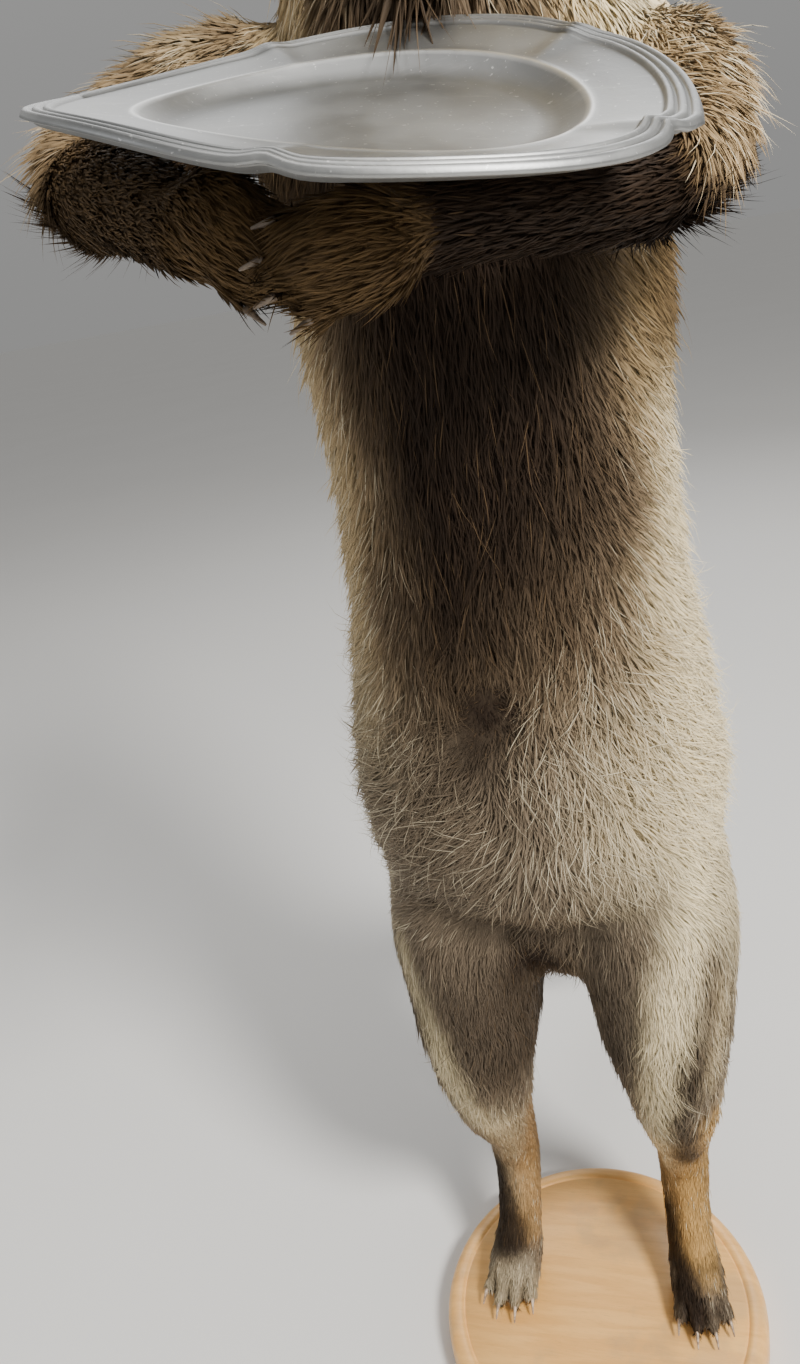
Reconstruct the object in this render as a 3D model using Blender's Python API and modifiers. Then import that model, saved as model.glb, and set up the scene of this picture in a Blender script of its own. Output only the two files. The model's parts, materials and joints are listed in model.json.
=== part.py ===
"""A taxidermy red fox that stands upright on a round wooden base and carries an oval pewter platter.

Metres, +Z up.  The origin is at the middle of the base's underside.  The fox looks along -Y, so its
left side is at +X.  Each part of the animal is one closed solid that reaches out to the tips of the
coat, and neighbours keep a gap of 0.3 mm.
"""

import bpy
import bmesh
import math
import numpy as np
from mathutils import Matrix, Vector

# ---------------------------------------------------------------- driving sizes
GAP = 0.0003                    # clearance between neighbouring solids
BASE_RADIUS = 0.113
BASE_HEIGHT = 0.025
GROOVE_AT = 0.885               # the turned groove's radius, as a share of the base's
GROOVE_DEPTH = 0.0012

STANCE = 0.068                  # half the distance between the hind paws
WAIST_HEIGHT = 0.455            # cut between hips and belly
RIB_HEIGHT = 0.615              # cut between belly and chest
NECK_HEIGHT = 0.868             # cut between chest and neck
HEAD_CENTRE = Vector((0.0, 0.0, 0.992))
HEAD_PITCH = math.radians(9)    # the muzzle points a little down

EYE_RADIUS = 0.0078
EYE_PLACE = Vector((0.0245, -0.0490, 0.0085))      # from the head's centre, fox's left
HIND_CLAW_LENGTH = 0.0096
FORE_CLAW_LENGTH = 0.0080
FOREPAW_SIZE = 0.037
HIND_PAW_SIZE = 0.042
NOSE_RADII = (0.0088, 0.0068, 0.0066)
EAR_PLACE = Vector((0.0370, 0.004, 0.031))
EAR_HEIGHT = 0.082
EAR_HALF_WIDTH = 0.0290
EAR_SPLAY = math.radians(16)

PLATTER_CENTRE = Vector((-0.003, -0.150, 0.7690))
PLATTER_HALF_LENGTH = 0.102
PLATTER_HALF_WIDTH = 0.0805
PLATTER_SHEET = 0.0022
PLATTER_DEPTH = 0.011
PLATTER_TILT = math.radians(15.5)        # the near edge is lower
PLATTER_ROLL = math.radians(13)          # the fox's right end is higher
PLATTER_TURN = math.radians(-9)          # the fox's left end is further forward
PLATTER_SAG = 0.010                      # how far the ends have bent down
PLATTER_TWIST = 0.007                    # and how far the sheet has twisted
WELL_SHARE = 0.66

VOXEL = 0.0035                  # grid for the trunk and tail
FINE_VOXEL = 0.0022             # and for the head, legs and paws
TRIANGLES = {"torso": 1300, "head": 1100, "hind leg": 440, "foreleg": 410, "tail": 240}
SLIVER_VERTS = 12               # a saw's offcut with fewer corners
SLIVER_VOLUME = 1e-8            # or less volume is dropped

# ---------------------------------------------------------------- scene set-up
for old in list(bpy.data.objects):
    bpy.data.objects.remove(old, do_unlink=True)

MODEL = bpy.data.collections.new("taxidermy_red_fox")
CUTTERS = bpy.data.collections.new("cutters")
for collection in (MODEL, CUTTERS):
    bpy.context.scene.collection.children.link(collection)


def finish(name, colour, roughness, metallic=0.0):
    """One Principled material."""
    made = bpy.data.materials.new(name)
    made.use_nodes = True
    shader = made.node_tree.nodes["Principled BSDF"]
    shader.inputs["Base Color"].default_value = (*colour, 1.0)
    shader.inputs["Roughness"].default_value = roughness
    shader.inputs["Metallic"].default_value = metallic
    return made


FUR_BELLY = finish("fur_grey_brown", (0.16, 0.12, 0.085), 0.9)
FUR_RED = finish("fur_red_brown", (0.34, 0.17, 0.075), 0.9)
FUR_DARK = finish("fur_dark", (0.035, 0.024, 0.018), 0.9)
FUR_CREAM = finish("fur_cream", (0.48, 0.40, 0.29), 0.9)
CLAW = finish("claw_horn", (0.50, 0.42, 0.31), 0.4)
EYE = finish("eye_glass", (0.30, 0.13, 0.02), 0.08)
NOSE = finish("nose_leather", (0.015, 0.012, 0.012), 0.45)
PEWTER = finish("pewter", (0.33, 0.33, 0.33), 0.38, 1.0)
WOOD = finish("turned_wood", (0.47, 0.25, 0.10), 0.4)
OFFCUT = None


def add(name, mesh, material, collection=MODEL):
    """Link a mesh as the object of a sub-part."""
    made = bpy.data.objects.new(name, mesh)
    mesh.materials.clear()
    mesh.materials.append(material)
    collection.objects.link(made)
    return made


def evaluated(thing):
    """The mesh of an object with its modifiers applied."""
    graph = bpy.context.evaluated_depsgraph_get()
    return bpy.data.meshes.new_from_object(thing.evaluated_get(graph))


def apply_modifiers(thing):
    """Replace the object's mesh by its evaluated one and drop the modifiers."""
    mesh = evaluated(thing)
    thing.modifiers.clear()
    thing.data = mesh
    return thing


# ---------------------------------------------------------------- shapes
def between(rows, steps):
    """Smooth rows of numbers through the given rows, `steps` to each interval."""
    rows = np.array(rows, float)
    ends = np.vstack([2 * rows[0] - rows[1], rows, 2 * rows[-1] - rows[-2]])
    made = []
    for i in range(len(rows) - 1):
        before, start, end, after = ends[i:i + 4]
        for t in np.linspace(0, 1, steps, endpoint=False):
            made.append(0.5 * (2 * start + (end - before) * t
                               + (2 * before - 5 * start + 4 * end - after) * t ** 2
                               + (3 * start - before - 3 * end + after) * t ** 3))
    made.append(rows[-1])
    return np.array(made)


def loft(stations, side=(1, 0, 0), steps=4, around=24, cap=3):
    """A closed body through oval sections (x, y, z, half width, half depth), with round ends.

    The half width lies along `side`, made square to the path."""
    rows = between(stations, steps)
    centres = rows[:, :3]
    widths = np.maximum(rows[:, 3:5], 0.0006)
    paths = np.gradient(centres, axis=0)
    shape = bmesh.new()
    rings = []

    def ring(centre, path, half):
        path = Vector(path).normalized()
        across = Vector(side)
        across = (across - path * across.dot(path)).normalized()
        deep = path.cross(across)
        return [shape.verts.new(Vector(centre) + across * (half[0] * math.cos(a)) + deep * (half[1] * math.sin(a)))
                for a in (2 * math.pi * k / around for k in range(around))]

    for k in range(1, cap):
        swing = math.pi / 2 * k / cap
        back = Vector(paths[0]).normalized() * min(widths[0]) * math.cos(swing)
        rings.append(ring(Vector(centres[0]) - back, paths[0], widths[0] * math.sin(swing)))
    for centre, path, half in zip(centres, paths, widths):
        rings.append(ring(centre, path, half))
    for k in range(cap - 1, 0, -1):
        swing = math.pi / 2 * k / cap
        ahead = Vector(paths[-1]).normalized() * min(widths[-1]) * math.cos(swing)
        rings.append(ring(Vector(centres[-1]) + ahead, paths[-1], widths[-1] * math.sin(swing)))
    for first, second in zip(rings, rings[1:]):
        for k in range(around):
            j = (k + 1) % around
            shape.faces.new((first[k], first[j], second[j], second[k]))
    shape.faces.new(rings[0][::-1])
    shape.faces.new(rings[-1])
    bmesh.ops.recalc_face_normals(shape, faces=shape.faces)
    return to_mesh(shape)


def ball(centre, radii, turn=None, around=24):
    """An ellipsoid; `turn` is a rotation matrix."""
    shape = bmesh.new()
    bmesh.ops.create_uvsphere(shape, u_segments=around, v_segments=around // 2, radius=1.0)
    place = Matrix.Translation(Vector(centre)) @ (turn or Matrix()) @ Matrix.Diagonal((*radii, 1.0))
    bmesh.ops.transform(shape, matrix=place, verts=shape.verts)
    return to_mesh(shape)


def to_mesh(shape):
    mesh = bpy.data.meshes.new("shape")
    shape.to_mesh(mesh)
    shape.free()
    return mesh


def fuse(shapes, triangles, voxel=VOXEL, smooth=2):
    """One closed surface round all the shapes, thinned to about the given number of triangles."""
    joined = bmesh.new()
    for mesh in shapes:
        joined.from_mesh(mesh)
    body = add("fusing", to_mesh(joined), FUR_BELLY, CUTTERS)
    remesh = body.modifiers.new("skin", "REMESH")
    remesh.mode = "VOXEL"
    remesh.voxel_size = voxel
    remesh.use_smooth_shade = True
    if smooth:
        soften = body.modifiers.new("soften", "SMOOTH")
        soften.factor = 0.5
        soften.iterations = smooth
    apply_modifiers(body)
    faces = 2 * len(body.data.polygons)
    thin = body.modifiers.new("thin", "DECIMATE")
    thin.ratio = min(1.0, triangles / faces)
    mesh = evaluated(body)
    bpy.data.objects.remove(body, do_unlink=True)
    return mesh


def swollen(mesh, amount=GAP):
    """A copy pushed out along its normals, to cut a neighbour with."""
    shape = bmesh.new()
    shape.from_mesh(mesh)
    shape.normal_update()
    moves = [(vert, vert.normal * amount) for vert in shape.verts]
    for vert, move in moves:
        vert.co += move
    return to_mesh(shape)


def cut(mesh, cutters):
    """Take each cutter mesh out of a mesh."""
    body = add("cutting", mesh, FUR_BELLY, CUTTERS)
    for k, cutter_mesh in enumerate(cutters):
        cutter = add(f"cutter_{k}", cutter_mesh, FUR_BELLY, CUTTERS)
        cutter.hide_render = True
        cutter.display_type = "WIRE"
        tool = body.modifiers.new(f"cut_{k}", "BOOLEAN")
        tool.operation = "DIFFERENCE"
        tool.solver = "EXACT"
        tool.object = cutter
    result = evaluated(body)
    for thing in list(CUTTERS.objects):
        bpy.data.objects.remove(thing, do_unlink=True)
    return result


def saw(point, normal, radius):
    """A thin round blade."""
    shape = bmesh.new()
    bmesh.ops.create_cone(shape, cap_ends=True, segments=32, radius1=radius, radius2=radius, depth=GAP)
    turn = Vector((0, 0, 1)).rotation_difference(Vector(normal).normalized()).to_matrix().to_4x4()
    bmesh.ops.transform(shape, matrix=Matrix.Translation(Vector(point)) @ turn, verts=shape.verts)
    return to_mesh(shape)


def pieces(mesh):
    """The separate closed bodies of a mesh, with slivers left out."""
    shape = bmesh.new()
    shape.from_mesh(mesh)
    bmesh.ops.remove_doubles(shape, verts=shape.verts, dist=1e-6)
    left = set(shape.verts)
    found = []
    while left:
        start = left.pop()
        island = {start}
        edge_of = [start]
        while edge_of:
            vert = edge_of.pop()
            for edge in vert.link_edges:
                other = edge.other_vert(vert)
                if other not in island:
                    island.add(other)
                    edge_of.append(other)
        left -= island
        found.append(island)
    made = []
    for island in found:
        if len(island) < SLIVER_VERTS:
            continue
        keep = shape.copy()
        keep.verts.ensure_lookup_table()
        indices = {vert.index for vert in island}
        bmesh.ops.delete(keep, geom=[v for v in keep.verts if v.index not in indices], context="VERTS")
        if abs(keep.calc_volume()) > SLIVER_VOLUME:
            made.append(to_mesh(keep))
        else:
            keep.free()
    shape.free()
    return made


def middle(mesh):
    total = Vector()
    for vert in mesh.vertices:
        total += vert.co
    return total / len(mesh.vertices)


def part_out(mesh, blades, names):
    """Saw a body and name each piece by the point it lies nearest to; an offcut isn't kept."""
    done = {}
    for piece in pieces(cut(mesh, blades) if blades else mesh):
        centre = middle(piece)
        name = min(names, key=lambda key: (Vector(names[key][0]) - centre).length)
        if name not in done or len(piece.vertices) > len(done[name].vertices):
            done[name] = piece
    for name, piece in done.items():
        if names[name][1] is not OFFCUT:
            add(name, piece, names[name][1])


# ---------------------------------------------------------------- trunk, neck and head
TRUNK = [  # x, y, height, half width, half depth
    (0, 0.018, 0.374, 0.066, 0.060),
    (0, 0.020, 0.402, 0.099, 0.083),
    (0, 0.021, 0.440, 0.108, 0.087),
    (0, 0.023, 0.500, 0.102, 0.080),
    (0, 0.027, 0.570, 0.092, 0.079),
    (0, 0.032, 0.640, 0.090, 0.086),
    (0, 0.036, 0.705, 0.094, 0.092),
    (0, 0.038, 0.775, 0.087, 0.090),
    (0, 0.036, 0.830, 0.075, 0.079),
    (0, 0.028, 0.880, 0.064, 0.068),
    (0, 0.020, 0.930, 0.060, 0.063),
    (0, 0.012, 0.975, 0.049, 0.053),
]

HEAD = [  # from the back of the skull to the nose, about the head's centre
    (0, 0.038, -0.006, 0.032, 0.030),
    (0, 0.018, 0.000, 0.044, 0.040),
    (0, -0.008, 0.002, 0.046, 0.041),
    (0, -0.030, 0.000, 0.041, 0.037),
    (0, -0.048, -0.005, 0.031, 0.030),
    (0, -0.062, -0.011, 0.0225, 0.0235),
    (0, -0.082, -0.0155, 0.0175, 0.0185),
    (0, -0.105, -0.0175, 0.0148, 0.0160),
    (0, -0.122, -0.0180, 0.0125, 0.0138),
]


def head_place():
    return Matrix.Translation(HEAD_CENTRE) @ Matrix.Rotation(HEAD_PITCH, 4, "X")


def placed(mesh, place):
    mesh.transform(place)
    return mesh


def head_shapes():
    """Skull and muzzle, cheek ruffs, brows and lips, in the head's own place."""
    shapes = [loft(HEAD)]
    for s in (1, -1):
        ruff = Matrix.Rotation(s * math.radians(-30), 4, "Z") @ Matrix.Rotation(s * math.radians(20), 4, "Y")
        shapes.append(ball((s * 0.032, 0.002, -0.016), (0.029, 0.036, 0.029), ruff))
        shapes.append(ball((s * 0.045, 0.014, -0.024), (0.020, 0.026, 0.018), ruff))
        shapes.append(ball((s * 0.0205, -0.038, 0.0165), (0.013, 0.018, 0.0105)))
        shapes.append(ball((s * 0.0085, -0.106, -0.020), (0.0085, 0.019, 0.0100)))
        shapes.append(ball((s * 0.026, 0.008, 0.021), (0.019, 0.015, 0.015)))
    shapes.append(ball((0, -0.086, -0.030), (0.0115, 0.032, 0.0070)))
    shapes.append(ball((0, -0.004, -0.032), (0.034, 0.038, 0.022)))
    place = head_place()
    return [placed(mesh, place) for mesh in shapes]


def make_torso():
    chest_tuft = ball((0, -0.030, 0.800), (0.050, 0.034, 0.060))
    rump = [ball((s * 0.045, 0.050, 0.385), (0.052, 0.052, 0.060)) for s in (1, -1)]
    shoulders = [ball((s * 0.062, 0.030, 0.785), (0.036, 0.055, 0.052)) for s in (1, -1)]
    return fuse([loft(TRUNK, steps=5, around=32), chest_tuft, *rump, *shoulders, *head_shapes()],
                TRIANGLES["torso"], smooth=4)


def make_head():
    """The head with a stub of neck, finer than the trunk; it meets the neck at the same saw cut."""
    return fuse([loft(TRUNK[-5:], steps=5, around=32), *head_shapes()], TRIANGLES["head"], FINE_VOXEL,
                smooth=4)


# ---------------------------------------------------------------- ears
def make_ear(s, head_mesh):
    """A tall cupped triangle: an outer cone less an inner one set forward."""
    h = EAR_HEIGHT
    w = EAR_HALF_WIDTH
    outer = loft([(0, 0.002, -0.014, 0.8 * w, 0.015), (0, 0.000, 0.0, w, 0.0155),
                  (0, -0.001, 0.30 * h, 0.93 * w, 0.0125), (0, -0.001, 0.60 * h, 0.68 * w, 0.0088),
                  (0, 0.000, 0.84 * h, 0.36 * w, 0.0050), (0, 0.0005, 0.97 * h, 0.12 * w, 0.0026)],
                 steps=1, around=12)
    inner = loft([(0, -0.0135, 0.06 * h, 0.45 * w, 0.0110), (0, -0.0105, 0.20 * h, 0.78 * w, 0.0125),
                  (0, -0.0085, 0.40 * h, 0.74 * w, 0.0105), (0, -0.0065, 0.62 * h, 0.54 * w, 0.0078),
                  (0, -0.0042, 0.82 * h, 0.29 * w, 0.0045), (0, -0.0032, 0.92 * h, 0.10 * w, 0.0024)],
                 steps=1, around=10)
    ear = cut(outer, [inner])
    turn = (Matrix.Rotation(s * EAR_SPLAY, 4, "Y") @ Matrix.Rotation(s * math.radians(26), 4, "Z")
            @ Matrix.Rotation(math.radians(-6), 4, "X"))
    place = head_place() @ Matrix.Translation((s * EAR_PLACE.x, EAR_PLACE.y, EAR_PLACE.z)) @ turn
    ear.transform(place)
    return cut(ear, [swollen(head_mesh)])


# ---------------------------------------------------------------- tail
TAIL = [  # the brush hangs back and down behind the base
    (0, 0.060, 0.405, 0.030, 0.030),
    (0, 0.100, 0.385, 0.032, 0.031),
    (0, 0.145, 0.345, 0.038, 0.036),
    (0.004, 0.190, 0.290, 0.046, 0.043),
    (0.008, 0.232, 0.232, 0.051, 0.048),
    (0.012, 0.272, 0.178, 0.049, 0.046),
    (0.016, 0.310, 0.132, 0.038, 0.036),
    (0.020, 0.342, 0.103, 0.022, 0.021),
    (0.023, 0.362, 0.090, 0.007, 0.007),
]

# ---------------------------------------------------------------- forelegs
FORELEG = {  # from the shoulder to the wrist
    1: [(0.070, 0.030, 0.785, 0.030, 0.036), (0.091, -0.008, 0.771, 0.029, 0.032),
        (0.096, -0.045, 0.750, 0.026, 0.027), (0.084, -0.078, 0.738, 0.0225, 0.024),
        (0.060, -0.104, 0.736, 0.0195, 0.021), (0.035, -0.128, 0.736, 0.0175, 0.019),
        (0.012, -0.148, 0.735, 0.0170, 0.018)],
    -1: [(-0.072, 0.030, 0.805, 0.031, 0.036), (-0.108, 0.004, 0.806, 0.030, 0.033),
         (-0.137, -0.040, 0.785, 0.0275, 0.028), (-0.128, -0.075, 0.771, 0.0235, 0.025),
         (-0.105, -0.104, 0.764, 0.0205, 0.0215), (-0.080, -0.130, 0.754, 0.0185, 0.0190),
         (-0.060, -0.150, 0.746, 0.0175, 0.0180)],
}
FOREPAW = {  # middle, the way the toes point, and the back of the paw
    1: (Vector((0.000, -0.170, 0.7315)), Vector((-0.82, -0.50, -0.10)), Vector((0.0, -0.9, 0.20))),
    -1: (Vector((-0.048, -0.159, 0.7450)), Vector((0.64, -0.52, -0.56)), Vector((-0.35, -0.90, 0.20)))}

# ---------------------------------------------------------------- hind legs
HIND_LEG = [  # for the fox's left; mirrored for the right
    (0.052, 0.022, 0.410, 0.051, 0.064),
    (0.0575, 0.010, 0.352, 0.0535, 0.065),
    (0.060, 0.001, 0.300, 0.0445, 0.056),
    (0.062, 0.000, 0.250, 0.0345, 0.045),
    (0.063, 0.010, 0.205, 0.0270, 0.034),
    (0.063, 0.029, 0.165, 0.0220, 0.026),
    (0.063, 0.044, 0.128, 0.0195, 0.0230),
    (0.063, 0.042, 0.098, 0.0180, 0.0200),
    (0.064, 0.030, 0.066, 0.0175, 0.0180),
    (0.066, 0.018, 0.046, 0.0195, 0.0180),
]
INWARD = {1: 0.0, -1: 0.006}    # the right leg stands this much nearer the middle
FORWARD = {1: 0.0, -1: 0.004}   # and this much further back


def paw(centre, forward, up, size):
    """A paw with four toes; returns its shapes and the four claw roots (point, direction)."""
    forward = Vector(forward).normalized()
    up = Vector(up)
    up = (up - forward * up.dot(forward)).normalized()
    across = forward.cross(up)
    frame = Matrix((across, forward, up)).transposed().to_4x4()
    shapes = [ball(centre, (0.50 * size, 0.62 * size, 0.38 * size), frame)]
    claws = []
    for k, offset in enumerate((-0.36, -0.13, 0.13, 0.36)):
        inner = abs(offset) < 0.2
        ahead = (0.56 if inner else 0.36) * size
        lean = (across * offset * 0.5 + forward).normalized()
        toe = centre + across * (offset * size) + forward * ahead - up * 0.10 * size
        frame_toe = Matrix((lean.cross(up).normalized(), lean, up)).transposed().to_4x4()
        shapes.append(ball(toe, (0.145 * size, 0.30 * size, 0.20 * size), frame_toe))
        claws.append((toe + lean * 0.22 * size + up * 0.02 * size, (lean - up * 0.35).normalized(), up))
    return shapes, claws


def claw(root, forward, up, length):
    """A curved horn that tapers from the toe."""
    along = Vector(forward)
    rows = []
    for k in range(4):
        t = k / 3
        point = Vector(root) + along * (length * t) - Vector(up) * (0.22 * length * t * t)
        width = 0.00185 * (1 - 0.72 * t)
        rows.append((*point, width, width * 1.25))
    side = along.cross(Vector(up))
    return loft(rows, side=side, steps=1, around=5, cap=1)


def side_name(s):
    return "left" if s > 0 else "right"


def make_claws(mesh, roots, label, length):
    """Claws as their own solids, each in a socket of the paw; returns the paw and the claws' clearances."""
    sockets = []
    for k, (root, forward, up) in enumerate(roots, 1):
        horn = claw(root, forward, up, length)
        sockets.append(swollen(horn))
        add(f"claw_{label}_{k}", horn, CLAW)
    return cut(mesh, [socket.copy() for socket in sockets]), sockets


def make_hind_leg(s, torso):
    shift = Vector((-s * INWARD[s], FORWARD[s], 0))
    rows = [(s * x + shift.x, y + shift.y, z, w, d) for x, y, z, w, d in HIND_LEG]
    centre = Vector((s * STANCE, 0.008, BASE_HEIGHT + 0.0150)) + shift
    shapes, roots = paw(centre, (s * 0.10, -1.0, -0.04), (0, 0, 1), HIND_PAW_SIZE)
    heel = ball(Vector((s * 0.0635, 0.052, 0.122)) + shift, (0.0135, 0.014, 0.020))
    leg = fuse([loft(rows, steps=5), heel, *shapes], TRIANGLES["hind leg"], FINE_VOXEL, smooth=1)
    floor = bmesh.new()
    bmesh.ops.create_cube(floor, size=0.2)
    bmesh.ops.translate(floor, vec=(s * STANCE, 0, BASE_HEIGHT + GAP - 0.1), verts=floor.verts)
    leg = cut(leg, [to_mesh(floor), swollen(torso)])
    leg, _ = make_claws(leg, roots, f"hind_{side_name(s)}", HIND_CLAW_LENGTH)
    blades = [saw(Vector((s * 0.063, 0.004, 0.228)) + shift, (0, -0.20, 1), 0.060),
              saw(Vector((s * 0.063, 0.044, 0.132)) + shift, (0, 0.10, 1), 0.045),
              saw(Vector((s * 0.065, 0.024, 0.056)) + shift, (0, 0.45, 1), 0.040)]
    return part_out(leg, blades, {
        f"thigh_{side_name(s)}": ((s * 0.068, 0.000, 0.290), FUR_CREAM),
        f"shank_{side_name(s)}": ((s * 0.066, 0.016, 0.180), FUR_RED),
        f"hind_foot_{side_name(s)}": ((s * 0.063, 0.040, 0.095), FUR_DARK),
        f"hind_paw_{side_name(s)}": ((s * STANCE, 0.000, 0.036), FUR_DARK)})


def make_foreleg(s, torso, avoid):
    centre, forward, back = FOREPAW[s]
    shapes, roots = paw(centre, forward, back, FOREPAW_SIZE)
    leg = fuse([loft(FORELEG[s], side=(0, 0, 1), steps=5), *shapes], TRIANGLES["foreleg"], FINE_VOXEL,
               smooth=1)
    leg = cut(leg, [swollen(torso), *(swollen(mesh) for mesh in avoid)])
    leg, sockets = make_claws(leg, roots, f"fore_{side_name(s)}", FORE_CLAW_LENGTH)
    rows = FORELEG[s]
    elbow = (Vector(rows[3][:3]), Vector(rows[4][:3]) - Vector(rows[2][:3]))
    wrist = (Vector(rows[6][:3]), Vector(rows[6][:3]) - Vector(rows[5][:3]))
    blades = [saw(elbow[0], elbow[1], 0.038), saw(wrist[0], wrist[1], 0.034)]
    return leg, sockets, blades, {
        f"upper_arm_{side_name(s)}": (Vector(rows[2][:3]), FUR_RED),
        f"forearm_{side_name(s)}": (Vector(rows[5][:3]), FUR_DARK),
        f"forepaw_{side_name(s)}": (centre, FUR_DARK)}


# ---------------------------------------------------------------- platter
def contour(angle):
    """The rim's outline as a share of the plain oval: bracket lobes with a point at each end."""
    share = 1.0
    for at, depth, width in ((0, 0.030, 0.16), (math.pi, 0.055, 0.16)):
        off = abs((angle - at + math.pi) % (2 * math.pi) - math.pi)
        share += depth * math.exp(-off / width)
    for at in (0.30, 0.70, 1.30, 1.70):
        off = abs((angle - at * math.pi + math.pi) % (2 * math.pi) - math.pi)
        share -= 0.022 * math.exp(-off / 0.10)
    return share


PLATTER_SECTION = [  # share of the way out, height
    (0.34, 0.0), (0.58, 0.0004), (WELL_SHARE, 0.0064), (0.74, 0.0082),
    (0.91, 0.0100), (0.95, 0.0120), (1.0, PLATTER_DEPTH),
]


def make_platter():
    around = 44
    sheet = bmesh.new()
    hub = sheet.verts.new((0, 0, 0))
    rings = []
    for share, height in PLATTER_SECTION:
        shaped = max(0.0, (share - WELL_SHARE) / (1 - WELL_SHARE))
        ring = []
        for k in range(around):
            a = 2 * math.pi * k / around
            reach = share * (1 + shaped * (contour(a) - 1))
            x = PLATTER_HALF_LENGTH * reach * math.cos(a)
            y = PLATTER_HALF_WIDTH * reach * math.sin(a)
            along = x / PLATTER_HALF_LENGTH
            bend = PLATTER_TWIST * along * y / PLATTER_HALF_WIDTH - PLATTER_SAG * along ** 2
            ring.append(sheet.verts.new((x, y, height + bend)))
        rings.append(ring)
    for k in range(around):
        sheet.faces.new((hub, rings[0][k], rings[0][(k + 1) % around]))
    for first, second in zip(rings, rings[1:]):
        for k in range(around):
            j = (k + 1) % around
            sheet.faces.new((first[k], second[k], second[j], first[j]))
    plate = add("platter", to_mesh(sheet), PEWTER)
    wall = plate.modifiers.new("sheet", "SOLIDIFY")
    wall.thickness = PLATTER_SHEET
    wall.offset = -1.0
    apply_modifiers(plate)
    turn = (Matrix.Rotation(PLATTER_TURN, 4, "Z") @ Matrix.Rotation(PLATTER_ROLL, 4, "Y")
            @ Matrix.Rotation(PLATTER_TILT, 4, "X"))
    plate.data.transform(Matrix.Translation(PLATTER_CENTRE) @ turn)
    return plate


# ---------------------------------------------------------------- base
def make_base():
    """A turned disc with a rounded edge and one fine groove."""
    r = BASE_RADIUS
    h = BASE_HEIGHT
    groove = GROOVE_AT * r
    profile = [(0, h), (groove - 0.0012, h), (groove, h - GROOVE_DEPTH), (groove + 0.0012, h)]
    roll = 0.0085
    for k in range(4):
        swing = math.pi / 2 * k / 3
        profile.append((r - roll + roll * math.sin(swing), h - roll + roll * math.cos(swing)))
    foot = 0.0035
    for k in range(2):
        swing = math.pi / 2 * k
        profile.append((r - foot + foot * math.cos(swing), foot - foot * math.sin(swing)))
    profile.append((0, 0))
    line = bmesh.new()
    points = [line.verts.new((x, 0, z)) for x, z in profile]
    for first, second in zip(points, points[1:]):
        line.edges.new((first, second))
    base = add("base", to_mesh(line), WOOD)
    turn = base.modifiers.new("turn", "SCREW")
    turn.steps = 48
    turn.render_steps = 48
    turn.use_merge_vertices = True
    turn.merge_threshold = 1e-5
    turn.use_smooth_shade = True
    return apply_modifiers(base)


# ---------------------------------------------------------------- the whole fox
def main():
    make_base()
    plate = make_platter()
    torso = make_torso()
    head = make_head()

    for s in (1, -1):
        part_out(make_ear(s, head), [], {f"ear_{side_name(s)}": (HEAD_CENTRE, FUR_DARK)})

    tail = cut(fuse([loft(TAIL, steps=5)], TRIANGLES["tail"]), [swollen(torso)])
    part_out(tail, [saw(TAIL[4][:3], (0.1, 0.6, -0.75), 0.09), saw(TAIL[6][:3], (0.1, 0.65, -0.7), 0.07)], {
        "tail_root": (TAIL[2][:3], FUR_RED), "tail_brush": (TAIL[5][:3], FUR_RED),
        "tail_tip": (TAIL[7][:3], FUR_CREAM)})

    for s in (1, -1):
        make_hind_leg(s, torso)

    first, sockets, blades, names = make_foreleg(1, torso, [plate.data.copy()])
    second, sockets, blades_2, names_2 = make_foreleg(-1, torso, [plate.data.copy(), first, *sockets])
    part_out(cut(first, sockets), blades, names)
    part_out(second, blades_2, names_2)

    neck_blade = saw((0, 0.018, 0.946), (0, -0.5, 1), 0.080)
    torso = cut(torso, [swollen(plate.data)])
    blades = [saw((0, 0.02, WAIST_HEIGHT), (0, 0, 1), 0.16), saw((0, 0.03, RIB_HEIGHT), (0, 0, 1), 0.14),
              saw((0, 0.03, NECK_HEIGHT), (0, 0.15, 1), 0.11), neck_blade.copy()]
    part_out(torso, blades, {
        "hips": ((0, 0.03, 0.39), FUR_BELLY), "belly": ((0, 0.025, 0.53), FUR_BELLY),
        "chest": ((0, 0.03, 0.74), FUR_BELLY), "neck": ((0, 0.02, 0.905), FUR_RED),
        "rough_head": ((0, -0.02, 0.990), OFFCUT)})

    sockets = []
    for s in (1, -1):
        place = head_place() @ Vector((s * EYE_PLACE.x, EYE_PLACE.y, EYE_PLACE.z))
        add(f"eye_{side_name(s)}", ball(place, (EYE_RADIUS,) * 3, around=10), EYE)
        sockets.append(ball(place, (EYE_RADIUS + GAP,) * 3, around=10))
    nose_place = head_place() @ Vector((0, -0.1325, -0.0125))
    add("nose", ball(nose_place, NOSE_RADII, around=10), NOSE)
    sockets.append(ball(nose_place, [radius + GAP for radius in NOSE_RADII], around=10))
    part_out(cut(head, sockets), [neck_blade], {
        "head": ((0, -0.02, 0.990), FUR_RED), "neck_stub": ((0, 0.025, 0.89), OFFCUT)})


main()
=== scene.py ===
"""Looks of a taxidermy red fox that stands on a round wooden base and carries an oval pewter platter.

The fox looks along -Y, its left side is at +X, and the base stands on the floor at Z = 0.
"""

import json
import math

import bmesh
import bpy
import numpy as np
from mathutils import Matrix, Vector
from mathutils.bvhtree import BVHTree
from mathutils.kdtree import KDTree


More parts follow.
